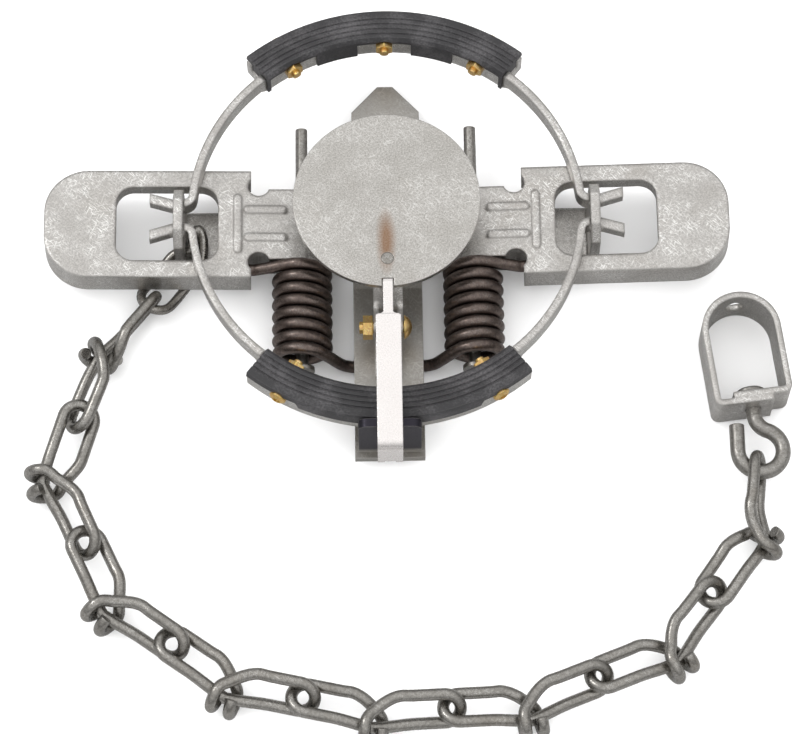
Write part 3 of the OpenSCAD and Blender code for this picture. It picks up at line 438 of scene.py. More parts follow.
def copied(node, splits=()):
    """Welded copy of a CAD node's mesh, with an edge all round it at each split along X."""
    form = bmesh.new()
    form.from_mesh(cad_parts[node].data)
    bmesh.ops.remove_doubles(form, verts=form.verts, dist=WELD)
    for split in splits:
        bmesh.ops.bisect_plane(form, geom=form.verts[:] + form.edges[:] + form.faces[:],
                               plane_co=(split * MM, 0, 0), plane_no=(1, 0, 0))
    bmesh.ops.dissolve_degenerate(form, dist=SLIVER, edges=form.edges[:])
    mesh = meshed(form, node)
    if "custom_normal" in mesh.attributes:
        mesh.attributes.remove(mesh.attributes["custom_normal"])
    return mesh


def cut_away(mesh, cutters, finish):
    """Mesh with the forms of the cutters taken out, smooth but for its edges."""
    blank = piece("blank", mesh)
    tools = [piece("cutter", cutter) for cutter in cutters]
    for tool in tools:
        modifier = blank.modifiers.new("cut", "BOOLEAN")
        modifier.operation = "DIFFERENCE"
        modifier.object = tool
    graph = bpy.context.evaluated_depsgraph_get()
    whole = bpy.data.meshes.new_from_object(blank.evaluated_get(graph))
    for made in (blank, *tools):
        bpy.data.meshes.remove(made.data)
    whole.materials.clear()
    whole.materials.append(finish)
    whole.polygons.foreach_set("material_index", [0] * len(whole.polygons))
    outward(whole)
    whole.set_sharp_from_angle(angle=CUT_CRISP)
    return whole


def finish_nodes(material, *nodes):
    """Gives CAD nodes their finish."""
    for node in nodes:
        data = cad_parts[node].data
        data.materials.clear()
        data.materials.append(material)


def heading(turn, pitch=0.0):
    """Direction of a compass turn and a pitch in degrees."""
    turn, pitch = math.radians(turn), math.radians(pitch)
    return Vector((math.cos(turn) * math.cos(pitch), math.sin(turn) * math.cos(pitch),
                   math.sin(pitch)))


def eased(path, rounds=2):
    """Cuts the corners of a path whose ends stay."""
    for _ in range(rounds):
        cut = [path[0]]
        for a, b in zip(path, path[1:]):
            cut += [a * 0.75 + b * 0.25, a * 0.25 + b * 0.75]
        path = cut + [path[-1]]
    return path


# Lengths from here on are in millimetres, and angles in degrees, unless a line says otherwise.
# Lever pin, and the lever plate above it: its top, thickness and slope
PIN_X, PIN_Z = 28.5, 10.3
LEVER_TOP, LEVER_T = 6.8, 2.5
LEVER_SLOPE = math.tan(math.radians(2.5))
# Outer leg of a spring: its Y and clearance, and for knee and tip the distance from the pin, the
# distance at which the plate's height is taken, and the drop below it
LEG_Y = -14.65
LEG_CLEAR = 0.3
LEG_KNEE = (15.5, 14, 0.25)
LEG_TIP = (25.0, 25, 0.2)
LEG_SHARES = (0, 0.45, 0.9, 1)
COIL_STEP = 10
# Inner leg: where it leaves the coil, its slope, points on the way down, the ease before it lies
# level, its height above the coil's foot, and the X of its end
FOOT_TURN, FOOT_SLOPE = 150, 60
FOOT_SHARES = (0.45, 0.85)
FOOT_EASE = (1.6, 0.3)
FOOT_LIFT = 0.05
FOOT_X = 7


def spring_path(sizes, side):
    """Middle line of a spring: leg under the lever, coil round the pin, leg to the cross member."""
    wire, radius, pitch = sizes.spring_wire / MM, sizes.coil / MM / 2, sizes.pitch / MM
    under = LEVER_TOP - LEVER_T - LEG_CLEAR - wire / 2
    knee, tip = (Vector((x, under + slope_x * LEVER_SLOPE - drop))
                 for x, slope_x, drop in (LEG_KNEE, LEG_TIP))
    start = math.atan2(knee.y, knee.x) + math.acos(radius / knee.length)
    leave = math.radians(FOOT_TURN)
    sweep = 2 * math.pi * sizes.turns + leave - start
    foot_y = LEG_Y - sweep / (2 * math.pi) * pitch
    foot_z = FOOT_LIFT - radius
    off = Vector((radius * math.cos(leave), radius * math.sin(leave)))
    run = (off.y - foot_z) / math.tan(math.radians(FOOT_SLOPE))
    foot_end = FOOT_X - PIN_X
    path = []
    for share in LEG_SHARES:
        spot = tip.lerp(knee, share)
        path.append(Vector((spot.x, LEG_Y, spot.y)))
    steps = int(sweep / math.radians(COIL_STEP))
    for i in range(steps + 1):
        angle = start + sweep * i / steps
        path.append(Vector((radius * math.cos(angle), LEG_Y + (foot_y - LEG_Y) * i / steps,
                            radius * math.sin(angle))))
    for share in FOOT_SHARES:
        path.append(Vector((off.x - share * run, foot_y, off.y - share * (off.y - foot_z))))
    path.append(Vector((off.x - run - FOOT_EASE[0], foot_y, foot_z + FOOT_EASE[1])))
    path += [Vector((x, foot_y, foot_z)) for x in (foot_end + wire, foot_end)]
    return [Vector((side * (p.x + PIN_X), p.y, p.z + PIN_Z)) for p in eased(path)]


# How a chain link lies: heading, roll and pitch of its first and last loop, and slack to the next
Lie = namedtuple("Lie", "turn_a turn_b roll_a roll_b slack pitch_a pitch_b")
CHAIN_LIES = (
    Lie(-126, -112, 75, 48, 3.5, 10.5, -7.3),
    Lie(-107, -66, -16, 46, 3.5, 0, 0),
    Lie(-65, -36, -16, 46, 3.5, 0, 0),
    Lie(-35.5, -12.5, -16, 46, 3, 0, 0),
    Lie(-12.5, 2, -16, 46, 1, 0, 0),
    Lie(2, 21, -16, 46, 1, 0, 0),
    Lie(21, 51.5, -16, 46, 2.2, 0, 0),
    Lie(54, 83, -16, 74, 1.2, 4, -4),
)
# Gaps between hanging links and in a knot, half the length of a link's twist, the steps of a half
# turn, and the height of the lowest wire of the first link
HANG_GAP = 0.7
KNOT_GAP = 0.9
TWIST_HALF = 13
ARC_STEPS = 24
FIRST_Z = 2.05
# Plain link in the post: place of the hole, its heading, half width, length and steps of its legs
POST_AT = (-69.1, -5.1)
POST_HEADING = -127
POST_HALF = 5.4
POST_LEG = 13
LEG_STEPS = 8
# Its lowest point as distance along it and height, and how it bows up before and after that point
POST_LOW_AT, POST_LOW = 9, 4.45
POST_BOWS = (0.0125, 0.042)
# Its bend inside the post, up to the hole, and the angle of its loop where the hole is
POST_BEND = ((-62.4, -10.6, 5.9), (-61.6, -5.5, 6.6), (-61.6, -0.2, 7.2), (-63.2, 3.4, 7.6),
             (-65.1, 1.0, 7.6), (-65.3, -4.2, 7.3), (-66.8, -5.4, 6.9))
POST_HOLE_TURN = 127
HOLE_STEPS = 6


def post_point(along, across):
    """Point of the bowed plain link in the post."""
    ahead = heading(POST_HEADING)
    bow = POST_BOWS[0] if along < POST_LOW_AT else POST_BOWS[1]
    return Vector((POST_AT[0] + along * ahead.x - across * ahead.y,
                   POST_AT[1] - POST_HALF + along * ahead.y + across * ahead.x,
                   POST_LOW + bow * (along - POST_LOW_AT) ** 2))


def post_path():
    """Closed middle line of the plain link, wider inside the post than outside."""
    path = [post_point(0, POST_HALF)] + [Vector(spot) for spot in POST_BEND]
    for i in range(HOLE_STEPS + 1):
        angle = math.radians(POST_HOLE_TURN + (180 - POST_HOLE_TURN) * i / HOLE_STEPS)
        path.append(post_point(-POST_HALF * math.sin(angle), POST_HALF * math.cos(angle)))
    path = eased(path, 3)
    path += [post_point(POST_LEG * i / LEG_STEPS, -POST_HALF) for i in range(1, LEG_STEPS)]
    for i in range(ARC_STEPS + 1):
        angle = math.radians(180 / ARC_STEPS * i)
        path.append(post_point(POST_LEG + POST_HALF * math.sin(angle),
                               -POST_HALF * math.cos(angle)))
    path += [post_point(POST_LEG * (1 - i / LEG_STEPS), POST_HALF) for i in range(1, LEG_STEPS)]
    return path


def chain_knots(sizes):
    """Knot of each link, each hung in the link before."""
    wire, half = sizes.chain_wire / MM, sizes.link_half / MM
    lap = (wire + HANG_GAP) / 2
    first = CHAIN_LIES[0]
    apex = post_point(POST_LEG + POST_HALF - (wire + sizes.post_wire / MM) / 2 - HANG_GAP, 0)
    apex.z = FIRST_Z + sizes.loop_half / MM * math.sin(math.radians(first.roll_a))
    hang = apex + lap * heading(first.turn_a, first.pitch_a)
    knots = []
    for lie in CHAIN_LIES:
        knots.append(hang + (half - lap) * heading(lie.turn_a, lie.pitch_a))
        hang = knots[-1] + (half - lap - lie.slack) * heading(lie.turn_b, lie.pitch_b)
    return knots


# Half a link: where its end leaves the loop's leg, two points that pull it across, as X and rise
# and as distance from the other leg, where it wraps that leg and how far round, and its steps
CROSS_X = 9
CROSS_PULL, CROSS_REACH = (3.5, 1.2), 4.5
WRAP_X = 2.5
WRAP_TURN = 186
STRAIGHT_STEPS, RETURN_STEPS, CROSS_STEPS = 12, 8, 16


def half_link(sizes):
    """Middle line of half a straight link: leg, loop, and the end that wraps the other leg."""
    wire, end, half = sizes.chain_wire / MM, sizes.link_half / MM, sizes.loop_half / MM
    bow, wrap = end - half, wire + KNOT_GAP
    path = [Vector((bow * i / STRAIGHT_STEPS, -half, 0)) for i in range(STRAIGHT_STEPS + 1)]
    for i in range(1, ARC_STEPS + 1):
        angle = math.radians(-90 + 180 / ARC_STEPS * i)
        path.append(Vector((bow + half * math.cos(angle), half * math.sin(angle), 0)))
    path += [Vector((bow + (CROSS_X - bow) * i / RETURN_STEPS, half, 0))
             for i in range(1, RETURN_STEPS + 1)]
    a, b, c, d = (Vector(spot) for spot in (
        (CROSS_X, half, 0), (CROSS_PULL[0], half, CROSS_PULL[1]),
        (-WRAP_X, CROSS_REACH - half, wrap), (-WRAP_X, -half, wrap)))
    for i in range(1, CROSS_STEPS + 1):
        t = i / CROSS_STEPS
        path.append((1 - t) ** 3 * a + 3 * (1 - t) ** 2 * t * b + 3 * (1 - t) * t * t * c
                    + t ** 3 * d)
    for i in range(1, ARC_STEPS + 1):
        angle = math.radians(90 + WRAP_TURN / ARC_STEPS * i)
        path.append(Vector((-WRAP_X, wrap * math.cos(angle) - half, wrap * math.sin(angle))))
    return path


def laid(spot, knot, lie):
    """Point of the straight link where the link lies."""
    share = min(max((spot.x + TWIST_HALF) / (2 * TWIST_HALF), 0), 1)
    share = share * share * (3 - 2 * share)
    turn, roll, pitch = (math.radians(a + (b - a) * share) for a, b in (
        (lie.turn_a, lie.turn_b), (lie.roll_a, lie.roll_b), (lie.pitch_a, lie.pitch_b)))
    along = heading(lie.turn_a, lie.pitch_a) if spot.x < 0 else heading(lie.turn_b, lie.pitch_b)
    across = Vector((-math.sin(turn), math.cos(turn), 0))
    up = Vector((-math.cos(turn) * math.sin(pitch), -math.sin(turn) * math.sin(pitch),
                 math.cos(pitch)))
    return (knot + spot.x * along + (spot.y * math.cos(roll) - spot.z * math.sin(roll)) * across
            + (spot.y * math.sin(roll) + spot.z * math.cos(roll)) * up)


# Hook: heading from its eye to the last link, end of the eye, heading and bend of its shank, how
# far its straight end runs past the eye's middle, and the steps of that end, the eye and the bend
HOOK_TURN = 259
EYE_END = 70
SHANK_TURN = 96.8
SHANK_BEND = 6.0
HOOK_TIP = 8.8
TIP_STEPS, EYE_STEPS, BEND_STEPS = 4, 48, 12
# Shank: how far it starts inside the bend, both ends of its head, and the chamfers of the head,
# below, and above along and across
SHANK_IN = 0.4
SHANK_HEAD = (6.9, 9.4)
HEAD_BELOW, HEAD_ABOVE = 0.3, (0.7, 0.9)


def hook_line(sizes):
    """Middle line of the hook's wire, and the start and direction of its shank."""
    wire, eye = sizes.hook_wire / MM, sizes.hook_eye / MM
    lie = CHAIN_LIES[-1]
    reach = sizes.link_half / MM - (sizes.chain_wire / MM + wire) / 2 - HANG_GAP
    hung = chain_knots(sizes)[-1] + reach * heading(lie.turn_b, lie.pitch_b)
    middle = hung - eye * heading(HOOK_TURN)
    bend = middle + (eye + SHANK_BEND) * heading(EYE_END)
    shank = bend + SHANK_BEND * heading(SHANK_TURN + 90)
    path = [middle + Vector((-eye, HOOK_TIP - i * wire / TIP_STEPS, 0))
            for i in range(TIP_STEPS + 1)]
    path += [middle + eye * heading(180 + i * (180 + EYE_END) / EYE_STEPS)
             for i in range(EYE_STEPS + 1)]
    back = 90 + EYE_END - SHANK_TURN
    path += [bend + SHANK_BEND * heading(180 + EYE_END - i * back / BEND_STEPS)
             for i in range(1, BEND_STEPS + 1)]
    return path, shank, heading(SHANK_TURN)


def shank_profile(wire):
    """Distances and radii of the hook's headed shank, from half the wire's thickness."""
    low, high = SHANK_HEAD
    head = 2 * wire
    return [(-SHANK_IN, wire), (low, wire), (low, head - HEAD_BELOW), (low + HEAD_BELOW, head),
            (high - HEAD_ABOVE[0], head), (high, head - HEAD_ABOVE[1])]


# Strap of the swivel: start along the shank, half width, end of the sides, bend along its middle,
# half thickness and half height
STRAP_OFF = 2.5
STRAP_HALF, STRAP_SIDE, STRAP_BEND, STRAP_T, STRAP_H = 12.0, 26.0, 1.6, 1.0, 8.0
# Where its two lapped ends lie along the shank, and how far each runs past it
STRAP_LAPS = (1.0, 3.1)
STRAP_PAST = 6.5
# Its holes for the shank and in the bow: start and end along the shank, and radius
STRAP_HOLES = ((-1, 5.2, 2.66), (33, 41, 3.0))
# Steps of a quarter bend and of the bow
CORNER_STEPS, BOW_STEPS = 6, 36


def strap_mesh(shank, axis, finish):
    """Bent strap whose two ends lap under the hook's head, with its two holes."""
    across = Vector((axis.y, -axis.x, 0))
    low, high = STRAP_LAPS
    turn = 90 / CORNER_STEPS
    first = Vector((STRAP_BEND - STRAP_HALF, STRAP_BEND + low))
    last = Vector((STRAP_HALF - STRAP_BEND, STRAP_BEND + high))
    line = [Vector((STRAP_PAST, low))]
    line += [first + STRAP_BEND * heading(270 - turn * i).xy for i in range(CORNER_STEPS + 1)]
    line += [Vector((0, STRAP_SIDE)) + STRAP_HALF * heading(180 - 180 / BOW_STEPS * i).xy
             for i in range(BOW_STEPS + 1)]
    line += [last + STRAP_BEND * heading(-turn * i).xy for i in range(CORNER_STEPS + 1)]
    line.append(Vector((-STRAP_PAST, high)))
    sections = []
    for i, spot in enumerate(line):
        ahead = (line[min(i + 1, len(line) - 1)] - line[max(i - 1, 0)]).normalized()
        side = Vector((-ahead.y, ahead.x)) * STRAP_T
        corners = ((spot + side, STRAP_H), (spot - side, STRAP_H), (spot - side, -STRAP_H),
                   (spot + side, -STRAP_H))
        sections.append([shank + (STRAP_OFF + edge.y) * axis + edge.x * across
                         + Vector((0, 0, height)) for edge, height in corners])
    holes = [turned_mesh([(STRAP_OFF + start, radius), (STRAP_OFF + end, radius)], shank, axis,
                         finish) for start, end, radius in STRAP_HOLES]
    return cut_away(prism_mesh(sections), holes, finish)


# Jaw tips outside the posts: where they start to bend apart, and how steeply
TIP_FROM = 71.0
TIP_SPREAD = 0.3
# Channel under a pad: underside and end of the plain form, and how much deeper the pressed one is
CHANNEL_LOW = 19.75
CHANNEL_END = 39.5
CHANNEL_DEEPER = 2.65
# Inner skirt of a pad: its lower edge, which follows the channel
SKIRT_LOW = 20.3
# Outer edge of a pad's top: radius and height above which it lies, and the fuller edge's own
TOP_EDGE = (73.1, 27.0)
FULL_EDGE = (73.5, 27.9)
# Outer skirt of a pad: the channel's outside, depth and heights of the cut, angles where the skirt
# ends below and above, angle of the pad's end, and the steps between them
CHANNEL_OUT = 73.25
SKIRT_DEPTH = 4
SKIRT_CUT = (15.0, 25.3)
SKIRT_ENDS = (22.0, 24.5)
PAD_END = 42.0
SKIRT_STEPS = 12


def skirt_cutter(side, way):
    """Form that clears a pad's outer skirt from its screw to its end."""
    sections = []
    for i in range(SKIRT_STEPS + 1):
        section = []
        for height, start in zip(SKIRT_CUT, SKIRT_ENDS):
            turn = 90 + way * (start + (PAD_END - start) * i / SKIRT_STEPS)
            for radius in (CHANNEL_OUT, CHANNEL_OUT + SKIRT_DEPTH):
                spot = heading(turn) * radius
                section.append((spot.x, side * spot.y, height))
        sections.append([section[0], section[1], section[3], section[2]])
    return prism_mesh(sections)


# Pad screws: their angles, where a head's dome starts, how much it is raised, and their height
SCREW_TURNS = (60.5, 90, 119.5)
DOME_FROM = 74.17
DOME_RAISE = 0.5
SCREW_Z = 23.3
# Cross recess: half length and half width of a slot, its start and end along the screw, and rolls
SLOT_LONG, SLOT_WIDE = 1.55, 0.34
SLOT_RANGE = (74.4, 77.0)
SLOT_ROLLS = (35, 125)


def slot_cutter(turn, roll):
    """Form that cuts one slot of a cross recess into the head of a pad screw."""
    roll = math.radians(roll)
    ahead, up = heading(turn), Vector((0, 0, 1))
    across = Vector((-ahead.y, ahead.x, 0))
    long_way = math.cos(roll) * across + math.sin(roll) * up
    wide_way = math.cos(roll) * up - math.sin(roll) * across
    corners = [i * SLOT_LONG * long_way + j * SLOT_WIDE * wide_way
               for i, j in ((-1, -1), (1, -1), (1, 1), (-1, 1))]
    return prism_mesh([[along * ahead + SCREW_Z * up + corner for corner in corners]
                       for along in SLOT_RANGE])


def raise_domes(mesh, side):
    """Raises the domes of the pad screws' heads."""
    ways = [heading(side * turn) for turn in SCREW_TURNS]
    for vertex in mesh.vertices:
        ahead = max(ways, key=vertex.co.dot)
        past = ahead.dot(vertex.co) - DOME_FROM * MM
        vertex.co += DOME_RAISE * max(past, 0) * ahead


class TRAP_OT_springs(bpy.types.Operator):
    """Winds the two coil springs and lets their legs follow the levers"""
    bl_idname = "trap.springs"
    bl_label = "Wind the springs"

    def execute(self, context):
        sizes, colours = context.scene.trap_wire, context.scene.trap_colours
        light, dark = colours.spring_light, colours.spring_dark
        # Oil-tempered spring wire: drawn, then darkened by the quench, with a thin oily shine
        finish = worn_metal("oil_tempered_wire", light, dark, dark, 9, 1.2, (3, 0.2), (0.28, 0.42),
                            scratched=0.1)
        for name, side in SIDES.items():
            path = spring_path(sizes, side)
            made = piece("coil_spring_" + name, wire_mesh(path, sizes.spring_wire, finish))
            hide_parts("spring_" + name)
            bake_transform(made)
        return {"FINISHED"}


class TRAP_OT_chain(bpy.types.Operator):
    """Bends the plain link in the post and the eight knotted links"""
    bl_idname = "trap.chain"
    bl_label = "Bend the chain"

    def execute(self, context):
        sizes, colours = context.scene.trap_wire, context.scene.trap_colours
        # Bright-drawn wire left bare: dulled to grey, rubbed lighter where links hang in each other
        finish = worn_metal("drawn_chain_wire", colours.chain_light, colours.chain_dark,
                            colours.zinc_stain, 8, 0.9, (3, 0.2), (0.2, 0.34), stained=0.2,
                            scratched=0.3)
        made = piece("post_link", wire_mesh(post_path(), sizes.post_wire, finish, closed=True))
        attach(made, "anchor")
        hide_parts("anchor_link")
        half = half_link(sizes)
        straight = [Vector((-p.x, p.y, -p.z)) for p in reversed(half[1:])] + half
        for i, (knot, lie) in enumerate(zip(chain_knots(sizes), CHAIN_LIES), 1):
            path = [laid(spot, knot, lie) for spot in straight]
            made = piece(f"knotted_link_{i}", wire_mesh(path, sizes.chain_wire, finish))
            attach(made, f"link_{i}")
            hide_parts(f"chain_link_{i}")
        return {"FINISHED"}


class TRAP_OT_swivel(bpy.types.Operator):
    """Bends the swivel hook with its headed shank, and the strap that turns on it"""
    bl_idname = "trap.swivel"
    bl_label = "Bend the swivel"

    def execute(self, context):
        sizes = context.scene.trap_wire
        finish = bpy.data.materials["dull_drawn_steel"]
        path, shank, axis = hook_line(sizes)
        turned = turned_mesh(shank_profile(sizes.hook_wire / MM / 2), shank, axis, finish)
        made = piece("hook_wire", joined([wire_mesh(path, sizes.hook_wire, finish), turned]))
        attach(made, "hook")
        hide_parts("swivel_hook")
        strap = strap_mesh(shank, axis, bpy.data.materials["zinc_plated_sheet"])
        made = piece("strap_bracket", strap)
        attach(made, "strap")
        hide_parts("swivel_strap")
        return {"FINISHED"}


class TRAP_OT_jaws(bpy.types.Operator):
    """Bends the jaw tips apart outside the posts and presses the channels under the pads deeper"""
    bl_idname = "trap.jaws"
    bl_label = "Bend the jaws"

    def execute(self, context):
        finish = bpy.data.materials["zinc_plated_sheet"]
        for name, side in JAWS.items():
            mesh = copied("jaw_" + name, (-TIP_FROM, TIP_FROM))
            for vertex in mesh.vertices:
                past = abs(vertex.co.x) - TIP_FROM * MM
                vertex.co.y += side * TIP_SPREAD * max(past, 0)
                from_middle = math.degrees(math.atan2(abs(vertex.co.x), side * vertex.co.y))
                if from_middle < CHANNEL_END and vertex.co.z < (CHANNEL_LOW + CLOSE) * MM:
                    vertex.co.z -= CHANNEL_DEEPER * MM
            made = piece("jaw_bar_" + name, cut_away(mesh, (), finish))
            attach(made, name + "_jaw")
            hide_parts("jaw_" + name)
        return {"FINISHED"}


class TRAP_OT_plates(bpy.types.Operator):
    """Finishes the pressed plates, pins and rivets"""
    bl_idname = "trap.plates"
    bl_label = "Finish the plates"

    def execute(self, context):
        colours = context.scene.trap_colours
        light, dark, dull_zinc, stain = (colours.zinc_light, colours.zinc_dark, colours.zinc_dull,
                                         colours.zinc_stain)
        # Zinc-plated sheet steel, pressed and handled: satin grey, cloudy, with short scratches
        plate = worn_metal("zinc_plated_sheet", light, dark, stain, 11, 0.5, (5, 0.26),
                           (0.26, 0.46), soft=1.6)
        # The same sheet with fewer scratches and a streak of rust by the rivet
        pan = worn_metal("zinc_plated_pan", light, dull_zinc, stain, 14, 0.5, (6, 0.26),
                         (0.26, 0.44), scratched=0.45,
                         streak=((-0.3, -15, 35), (2.6, 9.5, 50), colours.rust, 0.75, 0.7))
        # The same sheet, with painted shade on the face of the upright tab: a near-black patch in
        # place of the shadow under the jaw and of the dark surroundings that the face mirrors
        cross = worn_metal("zinc_plated_cross_strip", dark, dull_zinc, stain, 9, 0.5, (4, 0.3),
                           (0.3, 0.5), scratched=0.2,
                           streak=((0, -77, 24), (40, 5, 14), colours.scale, 1.0, 0.12))
        # Bar steel rubbed bright by use
        bright = worn_metal("rubbed_dog_bar", colours.polished, colours.polished_dull, light, 9,
                            0.5, (4, 0.3), (0.2, 0.34), stained=0.1, scratched=0.25)
        # Cold-headed steel without plating: darker and more even
        dull = worn_metal("dull_drawn_steel", colours.steel_light, colours.steel_dark, stain, 8,
                          0.9, (3, 0.2), (0.26, 0.44), scratched=0.3)
        finish_nodes(plate, "base_strip", "pan_bracket", "lever_left", "lever_right", "pan_shank")
        finish_nodes(pan, "pan")
        finish_nodes(cross, "cross_member")
        finish_nodes(bright, "dog")
        finish_nodes(dull, "base_rivets", "lever_pin_left", "lever_pin_right", "pan_rivet",
                     "dog_pin")
        return {"FINISHED"}


class TRAP_OT_pads(bpy.types.Operator):
    """Trims the rubber pads' outer skirts at the screws and fits the inner ones to the jaws"""
    bl_idname = "trap.pads"
    bl_label = "Trim the pads"

    def execute(self, context):
        finish = moulded_rubber(context.scene.trap_colours)
        for name, side in JAWS.items():
            mesh = copied("pad_" + name)
            for vertex in mesh.vertices:
                if vertex.co.z < (SKIRT_LOW + CLOSE) * MM:
                    vertex.co.z -= CHANNEL_DEEPER * MM
                elif vertex.co.xy.length > TOP_EDGE[0] * MM and vertex.co.z > TOP_EDGE[1] * MM:
                    vertex.co.xy = vertex.co.xy.normalized() * FULL_EDGE[0] * MM
                    vertex.co.z = FULL_EDGE[1] * MM
            cutters = [skirt_cutter(side, way) for way in (-1, 1)]
            made = piece("rubber_pad_" + name, cut_away(mesh, cutters, finish))
            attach(made, name + "_jaw")
            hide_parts("pad_" + name)
        return {"FINISHED"}


class TRAP_OT_fasteners(bpy.types.Operator):
    """Cuts the cross recesses of the pad screws and finishes the screws, nuts and the pan bolt"""
    bl_idname = "trap.fasteners"
    bl_label = "Finish the fasteners"

    def execute(self, context):
        colours = context.scene.trap_colours
        light, dark = colours.gold_light, colours.gold_dark
        # Zinc with a yellow passivation: gold, drifting to copper
        finish = worn_metal("yellow_passivated_zinc", light, dark, dark, 2.2, 0.4, (1.2, 0.15),
                            (0.22, 0.4), scratched=0.3)
        finish_nodes(finish, "pad_nuts_far", "pad_nuts_near", "pan_bolt", "pan_nut")
        for name, side in JAWS.items():
            mesh = copied("pad_screws_" + name)
            raise_domes(mesh, side)
            cutters = [slot_cutter(side * turn, roll) for turn in SCREW_TURNS
                       for roll in SLOT_ROLLS]
            made = piece("cross_screws_" + name, cut_away(mesh, cutters, finish))
            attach(made, name + "_jaw")
            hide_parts("pad_screws_" + name)
        return {"FINISHED"}


# Studio, in metres and watts: the camera's sensor in millimetres, half size, roughness and shine of
# the floor, aim of the lamps, and of each its name, power, size, place and whether metal mirrors it
SENSOR = 36
FLOOR_HALF = 3
FLOOR_ROUGH, FLOOR_SHINE = 0.9, 0.1
LAMP_AIM = (0, -0.04, 0)
LAMPS = (
    ("key light", 3.2, 0.5, (-0.9, 0.35, 1.25), True),
    ("right fill light", 1.2, 0.9, (1.2, -0.5, 0.9), False),
    ("left fill light", 1.2, 0.9, (-1.2, -0.7, 0.9), False),
)
# Strength of the soft light from all round, of the background, and, for metal, of the mirrored
# walls and ceiling, with the heights between which one turns into the other
SOFT_LIGHT, BACKGROUND = 1.9, 1.0
WALLS, CEILING = 0.28, 1.02
CEILING_SPAN = (0.1, 0.9)


def set_camera(scene, studio):
    aim = Vector((studio.aim_x, studio.aim_y, 0))
    ahead = Vector((math.sin(studio.turn), math.cos(studio.turn), 0))
    data = bpy.data.cameras.new("photo camera")
    data.lens = studio.lens
    data.sensor_width = SENSOR
    camera = bpy.data.objects.new("photo camera", data)
    camera.location = (aim - ahead * studio.distance * math.cos(studio.elevation)
                       + Vector((0, 0, studio.distance * math.sin(studio.elevation))))
    camera.rotation_euler = (math.pi / 2 - studio.elevation, 0, -studio.turn)
    scene.collection.objects.link(camera)
    scene.camera = camera


def soft_lamp(name, power, size, place, mirrored):
    data = bpy.data.lights.new(name, "AREA")
    data.energy = power
    data.shape = "DISK"
    data.size = size
    lamp = bpy.data.objects.new(name, data)
    lamp.location = place
    lamp.rotation_euler = (Vector(LAMP_AIM) - Vector(place)).to_track_quat("-Z", "Y").to_euler()
    lamp.visible_glossy = mirrored
    bpy.context.scene.collection.objects.link(lamp)


def set_world(scene):
    """Even white light all round; mirroring metal sees a bright ceiling over darker walls."""
    scene.world = bpy.data.worlds.new("studio")
    scene.world.use_nodes = True
    tree = scene.world.node_tree
    tree.nodes.clear()
    rays = add(tree, "ShaderNodeLightPath").outputs
    seen = computed(tree, "MAXIMUM", rays["Is Camera Ray"], rays["Is Transmission Ray"])
    seen = computed(tree, "MAXIMUM", seen, rays["Is Glossy Ray"])
    look = add(tree, "ShaderNodeTexCoord").outputs["Generated"]
    height = add(tree, "ShaderNodeSeparateXYZ", {"Vector": look}).outputs["Z"]
    mirrored = mapped(tree, height, CEILING_SPAN, low=WALLS, high=CEILING)
    shown = add(tree, "ShaderNodeMix", {FACTOR: rays["Is Glossy Ray"], LOW: BACKGROUND,
                                        HIGH: mirrored}).outputs[0]
    strength = add(tree, "ShaderNodeMix", {FACTOR: seen, LOW: SOFT_LIGHT, HIGH: shown}).outputs[0]
    light = add(tree, "ShaderNodeBackground", {"Color": (1, 1, 1, 1),
                                               "Strength": strength}).outputs[0]
    add(tree, "ShaderNodeOutputWorld", {"Surface": light})


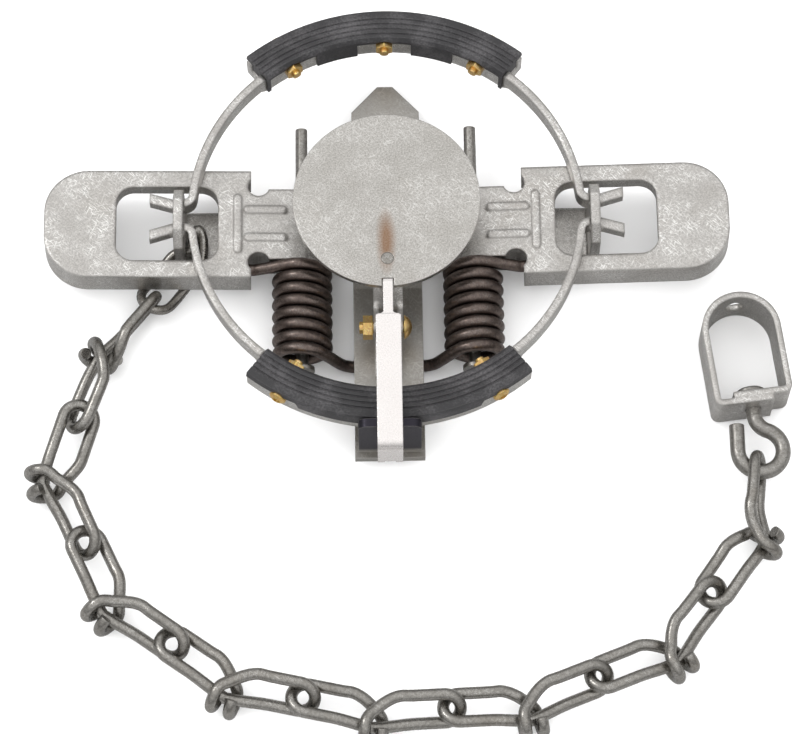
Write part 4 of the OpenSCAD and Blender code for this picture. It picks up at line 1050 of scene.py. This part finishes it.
class TRAP_OT_studio(bpy.types.Operator):
    """Sets the camera, the pale floor and the soft light"""
    bl_idname = "trap.studio"
    bl_label = "Set the studio"

    def execute(self, context):
        scene = context.scene
        set_camera(scene, scene.trap_studio)

        mesh = bpy.data.meshes.new("floor")
        mesh.from_pydata([(x * FLOOR_HALF, y * FLOOR_HALF, 0) for x, y in (
            (-1, -1), (1, -1), (1, 1), (-1, 1))], [], [(0, 1, 2, 3)])
        floor = piece("floor", mesh)
        # Matt white paper, which the metal mirrors darker than it is
        material, tree = new_material("matt_white_paper")
        rays = add(tree, "ShaderNodeLightPath").outputs
        colour = mixed(tree, rays["Is Glossy Ray"], scene.trap_colours.floor,
                       scene.trap_colours.mirrored_floor)
        surfaced(tree, {"Base Color": colour, "Roughness": FLOOR_ROUGH,
                        "Specular IOR Level": FLOOR_SHINE})
        mesh.materials.append(material)

        for lamp in LAMPS:
            soft_lamp(*lamp)
        set_world(scene)
        scene.view_settings.view_transform = "Standard"
        return {"FINISHED"}


class TRAP_PT_panel(bpy.types.Panel):
    """Lists the steps in their order, and the sizes, colours and camera"""
    bl_label = "Padded foothold trap"
    bl_space_type = "VIEW_3D"
    bl_region_type = "UI"
    bl_category = "Trap"

    def draw(self, context):
        for step in STEPS:
            self.layout.operator(step.bl_idname)
        for settings in GROUPS:
            group = getattr(context.scene, settings)
            for key in group.bl_rna.properties.keys():
                if key not in {"rna_type", "name"}:
                    self.layout.prop(group, key)


GROUPS = {"trap_wire": TrapWireSizes, "trap_colours": TrapColours, "trap_studio": TrapStudio}
STEPS = (TRAP_OT_studio, TRAP_OT_plates, TRAP_OT_springs, TRAP_OT_chain, TRAP_OT_swivel,
         TRAP_OT_jaws, TRAP_OT_pads, TRAP_OT_fasteners)
KINDS = (*GROUPS.values(), *STEPS, TRAP_PT_panel)


def register():
    for kind in KINDS:
        bpy.utils.register_class(kind)
    for key, kind in GROUPS.items():
        setattr(bpy.types.Scene, key, PointerProperty(type=kind))


def unregister():
    for key in GROUPS:
        delattr(bpy.types.Scene, key)
    for kind in reversed(KINDS):
        bpy.utils.unregister_class(kind)


def main():
    register()
    bpy.ops.trap.studio()
    bpy.ops.trap.plates()
    bpy.ops.trap.springs()
    bpy.ops.trap.chain()
    bpy.ops.trap.swivel()
    bpy.ops.trap.jaws()
    bpy.ops.trap.pads()
    bpy.ops.trap.fasteners()


if __name__ == "__main__":
    main()
